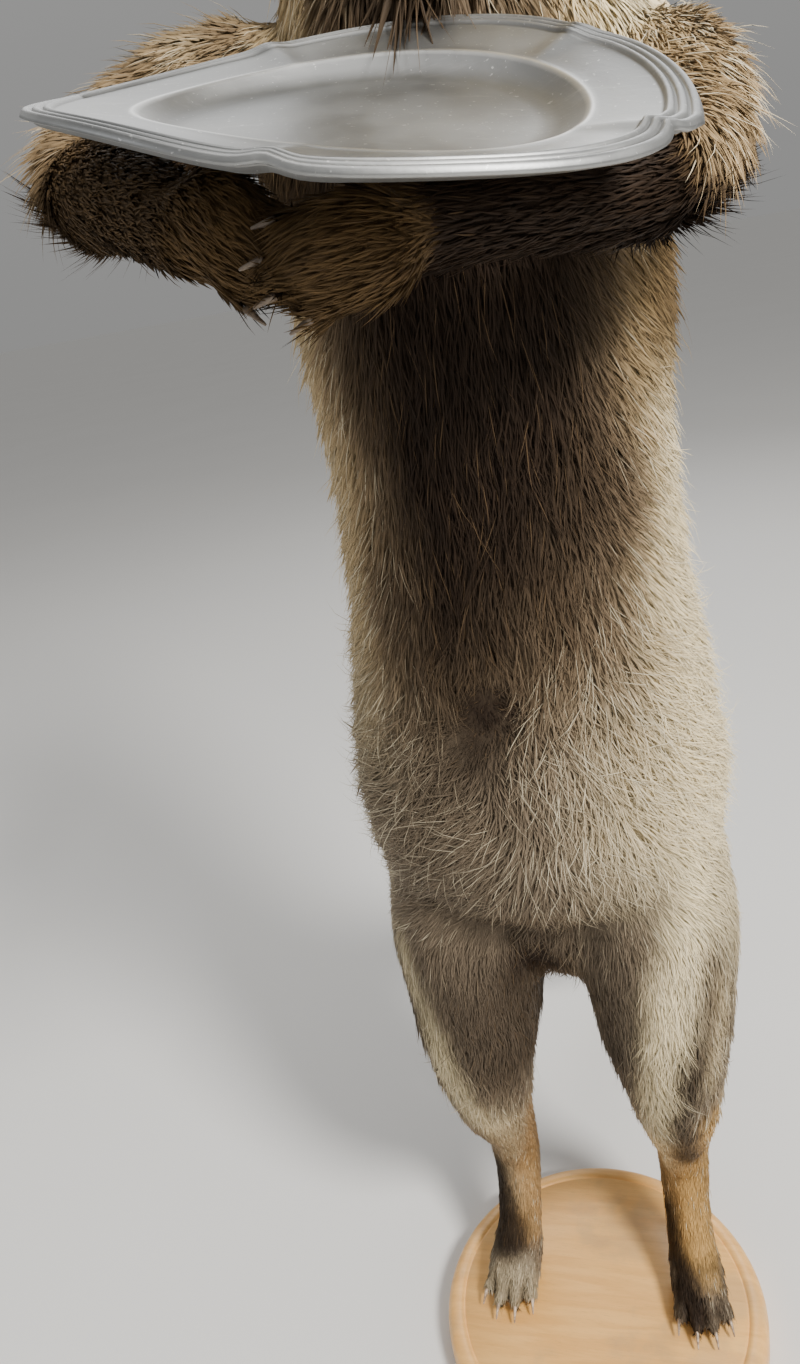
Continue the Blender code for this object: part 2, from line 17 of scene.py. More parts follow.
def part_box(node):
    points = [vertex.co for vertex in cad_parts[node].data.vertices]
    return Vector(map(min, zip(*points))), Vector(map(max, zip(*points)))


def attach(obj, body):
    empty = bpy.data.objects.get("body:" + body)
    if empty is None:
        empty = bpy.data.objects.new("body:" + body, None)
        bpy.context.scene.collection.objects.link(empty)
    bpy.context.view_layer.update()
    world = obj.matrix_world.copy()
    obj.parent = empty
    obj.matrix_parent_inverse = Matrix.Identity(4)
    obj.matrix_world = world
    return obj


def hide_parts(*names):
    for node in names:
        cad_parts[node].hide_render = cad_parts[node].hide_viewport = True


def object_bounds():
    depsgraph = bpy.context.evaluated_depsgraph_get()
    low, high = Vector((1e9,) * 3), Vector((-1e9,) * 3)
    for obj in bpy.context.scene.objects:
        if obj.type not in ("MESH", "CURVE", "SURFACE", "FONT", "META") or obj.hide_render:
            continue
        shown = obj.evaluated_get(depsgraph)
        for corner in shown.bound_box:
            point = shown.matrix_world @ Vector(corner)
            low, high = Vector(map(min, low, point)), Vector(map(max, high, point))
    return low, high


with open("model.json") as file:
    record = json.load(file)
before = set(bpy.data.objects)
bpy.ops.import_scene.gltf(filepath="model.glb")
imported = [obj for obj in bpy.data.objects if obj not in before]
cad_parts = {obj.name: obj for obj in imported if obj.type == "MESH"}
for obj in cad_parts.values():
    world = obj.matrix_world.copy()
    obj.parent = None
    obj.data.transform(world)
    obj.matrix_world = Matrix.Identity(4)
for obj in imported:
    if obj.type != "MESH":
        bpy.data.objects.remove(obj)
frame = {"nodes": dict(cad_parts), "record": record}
CAD_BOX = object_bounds()
ROUGH = 1.0
SKIN_VOXEL = 0.0020
SKIN_FACES = 190_000                        # the finished skin's, and the most that a coat piece has:
COAT_FACES = 185_000                        # both stay under 200,000
LOCKS = 3.2e4                               # locks of hair to a square metre
PAST_BOX = 0.028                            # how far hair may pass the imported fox, as a share of each side
rng = np.random.default_rng(7)

HEAD_CENTRE = np.array((0.0, 0.0, 0.992))
HEAD_FROM = 0.93                            # the height above which the fox is head
HEAD_PITCH = math.radians(9)
EYE_PLACE = np.array((0.0245, -0.0490, 0.0085))
EYE_RADIUS = 0.0078
LID_SHELL = EYE_RADIUS + 0.0009             # the lids' inner surface, over the bulging glass
GAZE = np.array((0.62, -0.74, 0.12))        # the left eye's, in the head's own place
SIDES = ("left", "right")
SEGMENTS = ("upper_arm", "forearm", "forepaw", "thigh", "shank", "hind_foot", "hind_paw")
FLESH = ["head", "neck", "chest", "belly", "hips", "tail_root", "tail_brush", "tail_tip"]
FLESH += [f"ear_{side}" for side in SIDES]
FLESH += [f"{part}_{side}" for part in SEGMENTS for side in SIDES]


# ---------------------------------------------------------------- materials
class Val:
    """A number in a material: expressions on it add Math nodes."""

    def __init__(self, finish, socket):
        self.finish = finish
        self.socket = socket

    def math(self, operation, *others):
        return self.finish.node("ShaderNodeMath", {"operation": operation}, dict(enumerate((self, *others))))

    def __add__(self, other):
        return self.math("ADD", other)

    def __radd__(self, other):
        return self.math("ADD", other)

    def __sub__(self, other):
        return self.math("SUBTRACT", other)

    def __rsub__(self, other):
        return (self * -1).math("ADD", other)

    def __mul__(self, other):
        return self.math("MULTIPLY", other)

    def __rmul__(self, other):
        return self.math("MULTIPLY", other)

    def __truediv__(self, other):
        return self.math("DIVIDE", other)

    def __pow__(self, other):
        return self.math("POWER", other)

    def step(self, low, high, start=0.0, end=1.0):
        """A smooth rise from `start` at `low` to `end` at `high`."""
        inputs = {"Value": self, "From Min": low, "From Max": high, "To Min": start, "To Max": end}
        settings = {"interpolation_type": "SMOOTHSTEP", "clamp": True}
        return self.finish.node("ShaderNodeMapRange", settings, inputs)


class Finish:
    """One Principled material with its nodes."""

    def __init__(self, name, **constants):
        self.material = bpy.data.materials.new(name)
        self.material.use_nodes = True
        self.tree = self.material.node_tree
        self.shader = self.tree.nodes["Principled BSDF"]
        for key, value in constants.items():
            self.shader.inputs[key.replace("_", " ")].default_value = value

    def node(self, kind, settings=None, inputs=None, output=0):
        made = self.tree.nodes.new(kind)
        for key, value in (settings or {}).items():
            setattr(made, key, value)
        for key, value in (inputs or {}).items():
            self.join(made.inputs[key], value)
        return Val(self, made.outputs[output])

    def join(self, socket, value):
        """Link a value to a socket, or set the socket to a number or a colour."""
        if isinstance(value, Val):
            self.tree.links.new(value.socket, socket)
        elif socket.type == "RGBA" and len(value) == 3:
            socket.default_value = (*value, 1.0)
        else:
            socket.default_value = value

    def mix(self, factor, first, second, blend="MIX"):
        """One colour over another by a factor."""
        return self.node("ShaderNodeMix", {"data_type": "RGBA", "blend_type": blend},
                         {0: factor, 6: first, 7: second}, 2)

    def place(self, scale=(1, 1, 1), turn=(0, 0, 0), shift=(0, 0, 0)):
        """Object coordinates, scaled, turned and moved."""
        here = self.node("ShaderNodeTexCoord", output="Object")
        return self.node("ShaderNodeMapping", None,
                         {"Vector": here, "Scale": scale, "Rotation": turn, "Location": shift})

    def noise(self, scale, where=None, detail=3.0, rough=0.55, distortion=0.0):
        inputs = {"Scale": scale, "Detail": detail, "Roughness": rough, "Distortion": distortion}
        inputs["Vector"] = where or self.place()
        return self.node("ShaderNodeTexNoise", None, inputs, "Fac")

    def shares(self, name):
        """The three numbers of a vector attribute."""
        read = self.node("ShaderNodeAttribute", {"attribute_name": name}, None, "Vector")
        return [self.node("ShaderNodeSeparateXYZ", None, {0: read}, k) for k in range(3)]

    def bump(self, height, distance, strength=1.0, under=None):
        inputs = {"Height": height, "Distance": distance, "Strength": strength}
        if under:
            inputs["Normal"] = under
        return self.node("ShaderNodeBump", None, inputs)

    def wear(self, **links):
        """Give the shader's sockets their values."""
        for key, value in links.items():
            self.join(self.shader.inputs[key.replace("_", " ")], value)


# ---------------------------------------------------------------- meshes
def to_object(shape, name):
    """A smooth-shaded object from a bmesh."""
    mesh = bpy.data.meshes.new(name)
    shape.to_mesh(mesh)
    shape.free()
    for face in mesh.polygons:
        face.use_smooth = True
    return link(mesh, name)


def link(mesh, name):
    made = bpy.data.objects.new(name, mesh)
    bpy.context.scene.collection.objects.link(made)
    return made


def settle(thing, kind, **settings):
    """Add a modifier and apply it."""
    modifier = thing.modifiers.new(kind.lower(), kind)
    for key, value in settings.items():
        setattr(modifier, key, value)
    graph = bpy.context.evaluated_depsgraph_get()
    mesh = bpy.data.meshes.new_from_object(thing.evaluated_get(graph))
    thing.modifiers.clear()
    old = thing.data
    thing.data = mesh
    bpy.data.meshes.remove(old)


def piece(thing, finish, slot, *nodes):
    """Give a finished object its material and body, and hide the CAD nodes that it stands for; the slot is
    not used.
    """
    thing.data.materials.clear()
    thing.data.materials.append(finish.material)
    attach(thing, "root")
    if nodes:
        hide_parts(*nodes)


def merged(names, swell=0.0):
    """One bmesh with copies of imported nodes, their corners merged, pushed out a little."""
    whole = bmesh.new()
    for name in names:
        shape = bmesh.new()
        shape.from_mesh(frame["nodes"][name].data)
        bmesh.ops.remove_doubles(shape, verts=shape.verts, dist=1e-5)
        shape.normal_update()
        moves = [vert.normal * swell for vert in shape.verts]
        for vert, move in zip(shape.verts, moves):
            vert.co += move
        mesh = bpy.data.meshes.new("part")
        shape.to_mesh(mesh)
        shape.free()
        whole.from_mesh(mesh)
        bpy.data.meshes.remove(mesh)
    return whole


def read(mesh, what, width, kind=np.float32, source="vertices"):
    """A property of all vertices or edges as rows of numbers."""
    values = np.empty(len(getattr(mesh, source)) * width, kind)
    getattr(mesh, source).foreach_get(what, values)
    return values.reshape(-1, width)


def unit(vectors):
    return vectors / np.maximum(np.linalg.norm(vectors, axis=-1, keepdims=True), 1e-9)


def flatten(vectors, normals):
    """Unit vectors turned to run along the surface."""
    return unit(vectors - normals * (vectors * normals).sum(1, keepdims=True))


def rise(value, low, high):
    """0 below `low`, 1 above `high`, smooth between."""
    t = np.clip((value - low) / (high - low), 0, 1)
    return t * t * (3 - 2 * t)


def lump(points, centre, radii):
    """A soft round mark: 1 at the centre, 0 at the radii."""
    far = np.linalg.norm((points - np.array(centre)) / np.array(radii), axis=1)
    return 1 - rise(far, 0.35, 1.0)


def waves(points, size, seed):
    """A smooth random value, about -1 to 1, with lumps of the given size in metres."""
    roll = np.random.default_rng(seed)
    total = np.zeros(len(points))
    for _ in range(9):
        aim = unit(roll.normal(size=3)) * 2 * math.pi / size * roll.uniform(0.6, 1.5)
        total += np.sin(points @ aim + roll.uniform(0, 2 * math.pi))
    return total / 3.0


# ---------------------------------------------------------------- skin
def head_frame(points):
    """Points in the head's own place: +X the fox's left, -Y the muzzle, +Z the crown."""
    c, s = math.cos(HEAD_PITCH), math.sin(HEAD_PITCH)
    moved = points - HEAD_CENTRE
    return np.stack([moved[:, 0], moved[:, 1] * c + moved[:, 2] * s, -moved[:, 1] * s + moved[:, 2] * c], 1)


def from_head(points):
    """Points given in the head's own place, on the fox."""
    c, s = math.cos(HEAD_PITCH), math.sin(HEAD_PITCH)
    x, y, z = points.T
    return np.stack([x, y * c - z * s, y * s + z * c], 1) + HEAD_CENTRE


# columns of COAT: depth, lengths and half widths in metres, the rise in degrees, tufts to a square centimetre
DEPTH, UNDER, UNDER_WIDE, LONG, LONG_WIDE, RISE, UNDER_DENSE, LONG_DENSE = range(8)
COAT = {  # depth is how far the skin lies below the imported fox
    "head": (0.0022, 0.0075, 0.00036, 0.010, 0.00018, 14, 78, 6),
    "ear": (0.0010, 0.0052, 0.00036, 0.009, 0.00020, 10, 54, 5),
    "neck": (0.0095, 0.0230, 0.00046, 0.034, 0.00025, 24, 28, 8),
    "chest": (0.0080, 0.0200, 0.00044, 0.028, 0.00022, 20, 29, 7),
    "belly": (0.0078, 0.0185, 0.00042, 0.028, 0.00018, 20, 33, 12),
    "hips": (0.0074, 0.0185, 0.00042, 0.027, 0.00018, 20, 33, 12),
    "tail_root": (0.0150, 0.0320, 0.00052, 0.040, 0.00028, 23, 22, 5),
    "tail_brush": (0.0200, 0.0380, 0.00054, 0.047, 0.00028, 24, 24, 6),
    "tail_tip": (0.0160, 0.0330, 0.00048, 0.042, 0.00028, 22, 38, 10),
    "upper_arm": (0.0062, 0.0170, 0.00044, 0.025, 0.00023, 20, 30, 9),
    "forearm": (0.0036, 0.0110, 0.00046, 0.015, 0.00026, 15, 38, 6),
    "forepaw": (0.0024, 0.0095, 0.00042, 0.014, 0.00024, 15, 60, 8),
    "thigh": (0.0052, 0.0138, 0.00035, 0.0185, 0.00019, 16, 41, 7),
    "shank": (0.0034, 0.0095, 0.00036, 0.0125, 0.00020, 12, 50, 4),
    "hind_foot": (0.0024, 0.0072, 0.00035, 0.0095, 0.00020, 11, 60, 4),
    "hind_paw": (0.0022, 0.0056, 0.00034, 0.0080, 0.00019, 15, 84, 8),
}
LIE = {  # the way the hair points, root to tip, on the fox's left side
    "head": (0.0, 1.0, 0.05), "ear": (0.25, 0.1, 1.0), "neck": (0, 0.05, -1), "chest": (0, 0.0, -1),
    "belly": (0, 0.0, -1), "hips": (0, 0.05, -1), "tail_root": (0, 0.68, -0.73),
    "tail_brush": (0.08, 0.68, -0.73), "tail_tip": (0.12, 0.78, -0.6), "upper_arm": (0.12, -0.9, -0.35),
    "forearm": (-0.72, -0.69, -0.03), "forepaw": (-0.82, -0.50, -0.10), "thigh": (0.05, -0.05, -1),
    "shank": (0, 0.36, -0.93), "hind_foot": (0.03, -0.30, -0.95), "hind_paw": (0.1, -0.9, -0.4),
}
LIE_RIGHT = {  # where the right side isn't the left's mirror image
    "upper_arm": (-0.40, -0.75, -0.20), "forearm": (0.68, -0.70, -0.22), "forepaw": (0.64, -0.52, -0.56),
}
AXIS_Y = 0.030                                       # the trunk's middle line
NAVEL = np.array((-0.010, -0.055, 0.520))
PARTING = np.array((-0.019, -0.056, 0.499))
CROTCH = np.array((-0.006, -0.038, 0.352))
HOLLOWS = [(NAVEL, 0.030), (PARTING, 0.026), (CROTCH, 0.021)]   # short hair: middle and reach
# the dark spots are painted shade in the hollows at the navel, the parting and the crotch
PITS = [(NAVEL, 0.025, 0.99), (PARTING, 0.018, 0.75),           # dark spots: middle, reach and strength
        (CROTCH, 0.027, 0.99), (CROTCH - (0, 0, 0.02), 0.020, 0.7)]
BIB = np.array((0.0090, -0.056, 0.823))             # long hair that hangs over the platter
TAIL_LINE = (0.10, 0.73, -0.68)                      # the way the tail points at its tip


def part_of(node):
    """A node's entry in COAT and LIE, and its side: 1 left, -1 right, 0 middle."""
    for side, sign in (("_left", 1), ("_right", -1)):
        if node.endswith(side):
            return node[:-len(side)], sign
    return node, 0


class Skin:
    """The one skin, and what is known at each of its points."""

    def __init__(self, mesh):
        self.mesh = mesh
        self.points = read(mesh, "co", 3).astype(float)
        self.pairs = read(mesh, "vertices", 2, np.int32, "edges")
        self.count = np.bincount(self.pairs.ravel(), minlength=len(self.points)).reshape(-1, 1).astype(float)

    def relax(self, values, times, share=0.6):
        """Average values along edges; `share` may differ by point."""
        first, second = self.pairs.T
        for _ in range(times):
            total = np.empty_like(values)
            for k in range(values.shape[1]):
                total[:, k] = (np.bincount(first, values[second, k], len(values))
                               + np.bincount(second, values[first, k], len(values)))
            values = values + share * (total / self.count - values)
        return values

    def move(self, points):
        """Give the points new places; returns the new normals."""
        self.points = points
        self.mesh.vertices.foreach_set("co", points.astype(np.float32).ravel())
        self.mesh.update()
        return read(self.mesh, "normal", 3).astype(float)


def make_skin():
    """All the flesh melted into one closed skin, with a ball over each eye for the lids to be cut from."""
    whole = merged(FLESH, swell=0.0004)
    for s in (1, -1):
        centre = from_head(np.array([EYE_PLACE * (s, 1, 1)]))[0]
        bmesh.ops.create_uvsphere(whole, u_segments=32, v_segments=24, radius=LID_SHELL + 0.0016,
                                  matrix=Matrix.Translation(centre))
    thing = to_object(whole, "skin")
    settle(thing, "REMESH", mode="VOXEL", voxel_size=SKIN_VOXEL, use_smooth_shade=True)
    thin(thing, 0.42)
    refine_details(thing)
    return thing


def thin(thing, ratio):
    """Leave a share of the skin's faces: the head, the forepaws and the feet stay fine."""
    points = read(thing.data, "co", 3)
    fine = (points[:, 2] > 0.925) | (points[:, 2] < 0.066)
    fine |= (points[:, 1] < -0.13) & (points[:, 2] > 0.70) & (points[:, 2] < 0.78)
    group = thing.vertex_groups.new(name="coarse")
    group.add([int(k) for k in np.flatnonzero(~fine)], 1.0, "REPLACE")
    settle(thing, "DECIMATE", ratio=ratio, vertex_group="coarse", vertex_group_factor=10.0)
    thing.vertex_groups.clear()


def refine_details(thing):
    """Split the faces round the eyes, along the muzzle and on the toes, which have the smallest forms."""
    shape = bmesh.new()
    shape.from_mesh(thing.data)
    for reach, muzzle in ((0.021, True), (0.0145, False)):
        centres = np.array([tuple(face.calc_center_median()) for face in shape.faces])
        places = head_frame(centres)
        near = np.zeros(len(places), bool)
        for s in (1, -1):
            near |= np.linalg.norm(places - EYE_PLACE * (s, 1, 1), axis=1) < reach
        if muzzle:
            near |= (places[:, 1] < -0.060) & (np.abs(places[:, 0]) < 0.03) & (places[:, 2] < 0.02)
            near |= (centres[:, 2] < 0.052) & (centres[:, 1] < 0.008)
        shape.faces.ensure_lookup_table()
        edges = list({edge for k in np.flatnonzero(near) for edge in shape.faces[k].edges})
        bmesh.ops.subdivide_edges(shape, edges=edges, cuts=1, use_grid_fill=True)
    bmesh.ops.triangulate(shape, faces=[face for face in shape.faces if len(face.verts) > 3])
    shape.to_mesh(thing.data)
    shape.free()


def owners(points):
    """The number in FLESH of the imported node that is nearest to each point."""
    corners, polygons, owner = [], [], []
    for index, name in enumerate(FLESH):
        data = frame["nodes"][name].data
        start = len(corners)
        corners += [vert.co.copy() for vert in data.vertices]
        for face in data.polygons:
            polygons.append([start + k for k in face.vertices])
            owner.append(index)
    tree = BVHTree.FromPolygons(corners, polygons)
    owner = np.array(owner)
    return np.array([owner[tree.find_nearest(point)[2]] for point in points])


def lie_of(part, sign):
    """The way the hair points on a part of the body, root to tip."""
    if sign < 0 and part in LIE_RIGHT:
        return LIE_RIGHT[part]
    x, y, z = LIE[part]
    return x * (sign or 1), y, z


def fit_coat(coat, points, groin):
    """Longer hair on the ruff, shorter and flatter in the groin, along the muzzle and round the eyes."""
    place = head_frame(points)
    head = points[:, 2] > HEAD_FROM
    muzzle = head * (1 - rise(place[:, 1], -0.122, -0.075))
    eyes = np.max([1 - rise(np.linalg.norm(place - EYE_PLACE * (s, 1, 1), axis=1), 0.010, 0.024)
                   for s in (1, -1)], axis=0)
    ruff = head * rise(place[:, 1], -0.010, 0.030) * (1 - rise(place[:, 2], 0.012, 0.030))
    coat[:, (UNDER, LONG)] *= (1 + 0.55 * ruff - 0.15 * groin)[:, None]
    coat[:, RISE] += 2 * ruff - 6 * groin
    coat[:, DEPTH] -= 0.0013 * muzzle
    coat[:, UNDER] *= 1 - 0.35 * np.maximum(muzzle, eyes)
    coat[:, RISE] *= 1 - 0.30 * np.maximum(muzzle, eyes)
    return coat


def study_skin(mesh):
    """Smooth the skin, find each point's body part, coat and lie of hair, and sink it under the coat."""
    skin = Skin(mesh)
    skin.label = owners(skin.points)
    skin.parts = [part_of(name) for name in FLESH]
    ears = np.isin(skin.label, [FLESH.index("ear_left"), FLESH.index("ear_right")])
    share = np.where(ears, 0.15, np.where(skin.points[:, 2] > HEAD_FROM, 0.35, 0.6))
    points = skin.relax(skin.points, 9, share[:, None])
    groin = rise(points[:, 2], 0.29, 0.33) * (1 - rise(points[:, 2], 0.43, 0.47))
    groin = groin * (1 - rise(points[:, 1], 0.02, 0.06))
    points = skin.relax(points, 24, (0.65 * groin)[:, None])
    coat = np.array([COAT[part] for part, _ in skin.parts])[skin.label]
    skin.coat = fit_coat(skin.relax(coat, 14), points, groin)
    normals = skin.move(points)
    soft = unit(skin.relax(normals, 6, np.where(ears, 0.0, 0.6)[:, None]))

    lie = np.array([lie_of(*part) for part in skin.parts])[skin.label]
    lie = comb(points, unit(skin.relax(unit(lie), 25)))
    lie = unit(skin.relax(flatten(lie, soft), 3))

    points = points - soft * skin.coat[:, DEPTH, None]
    skin.clefts = clefts(points)
    points = points - normals * (0.0028 * skin.clefts)[:, None]
    normals = skin.move(sculpt_face(points))
    skin.normals = unit(0.5 * normals + 0.5 * soft)
    skin.lie = flatten(lie, skin.normals)
    return skin


def comb(points, lie):
    """Whorls and partings of the lie of the hair."""
    x, y, z = points.T
    around = np.arctan2(x, AXIS_Y - y)                      # 0 in front, grows to the fox's left
    side = np.sign(x - 0.006)
    away = np.stack([np.cos(around), np.sin(around), 0 * x], 1) * side[:, None]
    trunk = rise(z, 0.36, 0.42) * (1 - rise(z, 0.74, 0.82))
    flank = trunk * rise(np.abs(around), 0.45, 1.0) * (1 - rise(np.abs(around), 1.7, 2.3))
    low = rise(z, 0.36, 0.40) * (1 - rise(z, 0.47, 0.53)) * (1 - rise(np.abs(around), 1.0, 1.6))
    parted = rise(np.abs(x - 0.006), 0.0, 0.025) * low * np.where(side < 0, 1.15, 0.30)
    lie = lie + away * (0.75 * flank + parted)[:, None]
    for centre, reach, force in ((NAVEL, 0.030, 1.3), (PARTING, 0.034, 1.3)):
        off = points - centre
        far = np.linalg.norm(off, axis=1)
        lie = lie + unit(off + (0, 0, -0.004)) * (force * (1 - rise(far, 0.008, reach)))[:, None]
    place = head_frame(points)
    cheek = rise(z, 0.93, 0.96) * rise(place[:, 1], -0.06, 0.0)
    spread = np.sign(x) * 0.5 * cheek * rise(np.abs(x), 0.01, 0.04)
    return unit(lie + np.stack([spread, 0 * x, -0.5 * cheek], 1))


def clefts(points):
    """1 in the clefts between the toes of the hind paws, 0 elsewhere."""
    total = np.zeros(len(points))
    for side in SIDES:
        roots = []
        for k in range(1, 5):
            low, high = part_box(f"claw_hind_{side}_{k}")
            roots.append(((low[0] + high[0]) / 2, high[1], high[2]))
        for first, second in zip(roots, roots[1:]):
            middle = (np.array(first) + np.array(second)) / 2
            off = points - middle
            across = np.abs(off[:, 0] + 0.10 * off[:, 1] * np.sign(middle[0]))
            along = rise(off[:, 1], -0.016, -0.008) * (1 - rise(off[:, 1], 0.006, 0.016))
            total = np.maximum(total, np.exp(-(across / 0.0016) ** 2) * along * (np.abs(off[:, 2]) < 0.03))
    return total


def lids(place, s):
    """Offsets from an eye's centre, across and up its face, and how far out of the lids' opening they are.

    The opening is an almond with its inner corner low: below 1 is inside it.
    """
    out = unit(GAZE * (s, 1, 1))
    far = place - EYE_PLACE * (s, 1, 1)
    side = unit(np.cross(out, (0, 0, 1.0)) * s)
    up = np.cross(side, out) * s
    u = far @ side
    v = far @ up + 0.22 * u
    half = 0.0070
    tall = np.where(v > 0, 0.0042, 0.0036) * (1 - 0.42 * np.clip(np.abs(u) / half, 0, 1) ** 1.5)
    opening = np.sqrt((u / half) ** 2 + (v / tall) ** 2)
    return far, u, v, opening + 9.0 * (far @ out < -0.004)


def sculpt_face(points):
    """Brows, eye sockets and lids, and the mouth line."""
    place = head_frame(points)
    head = rise(points[:, 2], 0.925, 0.94)
    for s in (1, -1):
        far, u, v, opening = lids(place, s)
        dist = np.linalg.norm(far, axis=1)
        radial = unit(far)
        near = dist < 0.020
        wrap = near * (1 - rise(opening, 1.7, 3.0)) * rise(opening, 0.97, 1.02)
        lid = LID_SHELL + 0.0004 + 0.0007 * (1 - rise(np.abs(opening - 1.30), 0.0, 0.30))
        place = place + radial * ((lid - dist) * wrap)[:, None]
        inside = near * (1 - rise(opening, 0.96, 1.01))
        place = place + radial * ((EYE_RADIUS - 0.0030 - dist) * inside)[:, None]
        brow = (dist < 0.022) * np.exp(-((v - 0.0100) / 0.0035) ** 2) * (1 - rise(np.abs(u), 0.006, 0.013))
        place = place + unit(GAZE * (s, 1, 1)) * (0.0009 * brow)[:, None]
    x, y, z = place.T
    muzzle = head * (1 - rise(y, -0.070, -0.055))
    lip = -0.0215 + 0.05 * (y + 0.10)
    line = muzzle * np.exp(-((z - lip) / 0.0011) ** 2) * (1 - rise(y, -0.062, -0.050))
    front = 1 - rise(y, -0.130, -0.120)
    place = place + np.stack([-np.sign(x) * 0.0016 * line * (1 - front), 0.0016 * line * front, 0 * x], 1)
    return np.where(head[:, None] > 0, from_head(place), points)


# ---------------------------------------------------------------- markings
def trail(points, stops, reach):
    """1 along a line through the stops, 0 past the reach, soft between."""
    near = np.full(len(points), 9.0)
    for start, end in zip(stops, stops[1:]):
        start, end = np.array(start), np.array(end)
        span = end - start
        t = np.clip((points - start) @ span / (span @ span), 0, 1)
        near = np.minimum(near, np.linalg.norm(points - start - t[:, None] * span, axis=1))
    return 1 - rise(near, 0.55 * reach, 1.25 * reach)


def over(under, upper):
    """Lay one mask over another: both are shares from 0 to 1."""
    return under + (1 - under) * upper


# marks that run down the legs: pale bands, dark stripes, and patches of black, gold and tan
LEG_BAND = [(0.090, -0.024, 0.47), (0.086, -0.029, 0.424), (0.079, -0.042, 0.389), (0.067, -0.053, 0.346),
            (0.061, -0.054, 0.305), (0.051, -0.037, 0.233), (0.047, -0.010, 0.185), (0.044, 0.014, 0.14)]
STRIPE_TOP = [(0.099, -0.030, 0.366), (0.091, -0.042, 0.337), (0.083, -0.047, 0.313), (0.079, -0.048, 0.301)]
LEG_STRIPE = [(0.079, -0.048, 0.301), (0.073, -0.049, 0.275), (0.068, -0.043, 0.241), (0.066, -0.033, 0.215),
              (0.069, -0.011, 0.185), (0.073, 0.010, 0.158)]
OUTER_TAN = [(0.101, -0.028, 0.345), (0.095, -0.036, 0.305), (0.091, -0.036, 0.280)]
OUTER_BAND = [(-0.100, -0.012, 0.430), (-0.096, -0.028, 0.380), (-0.086, -0.038, 0.335),
              (-0.076, -0.041, 0.300), (-0.064, -0.036, 0.255), (-0.057, -0.022, 0.215)]
LEG_GOLD = [(0.088, -0.022, 0.235), (0.083, 0.000, 0.190), (0.077, 0.028, 0.125), (0.074, 0.020, 0.085),
            (0.074, 0.008, 0.062)]
INNER_BLACK = [(0.047, 0.032, 0.092), (0.051, 0.015, 0.066), (0.057, -0.003, 0.052), (0.065, -0.018, 0.045)]
OUTER_BLACK = [(-0.077, 0.036, 0.108), (-0.071, 0.028, 0.082), (-0.064, 0.022, 0.068), (-0.065, 0.015, 0.062)]
INNER_GOLD = [(-0.040, 0.020, 0.195), (-0.038, 0.042, 0.142), (-0.044, 0.033, 0.106), (-0.046, 0.022, 0.070)]
FRONT_TAN = [(-0.046, -0.030, 0.235), (-0.046, -0.012, 0.190), (-0.052, 0.010, 0.140), (-0.056, 0.012, 0.095)]
# and along the head, in its own place
TEAR = [(0.020, -0.058, 0.004), (0.0155, -0.078, -0.004), (0.0120, -0.095, -0.008)]
MOUTH = [(0.000, -0.132, -0.0225), (0.008, -0.126, -0.0228), (0.0125, -0.112, -0.0215),
         (0.0150, -0.095, -0.0205), (0.0185, -0.075, -0.019), (0.0215, -0.062, -0.017)]


class Place:
    """Places on the skin: where they lie, on which parts of the body, and which way they face."""

    def __init__(self, points, names, normals):
        self.points = points
        self.names = names
        self.facing = normals.T
        self.x, self.y, self.z = points.T
        self.right = self.x < 0
        self.around = np.degrees(np.arctan2(self.x, AXIS_Y - self.y)) + 5 * waves(points, 0.06, 3)
        self.aside = np.abs(self.around)
        self.back = rise(self.aside, 84, 138)

    def on(self, *parts):
        return np.isin(self.names, parts)


class Shares:
    """How much of each colour, and of pale long hairs (tick), the coat has at some places."""

    def __init__(self, count):
        self.dark, self.rust, self.cream, self.grey, self.gold = np.zeros((5, count))
        self.tick = np.full(count, 0.45)

    def add(self, **layers):
        for colour, share in layers.items():
            setattr(self, colour, over(getattr(self, colour), share))

    def fade(self, **layers):
        for colour, share in layers.items():
            setattr(self, colour, getattr(self, colour) * (1 - share))


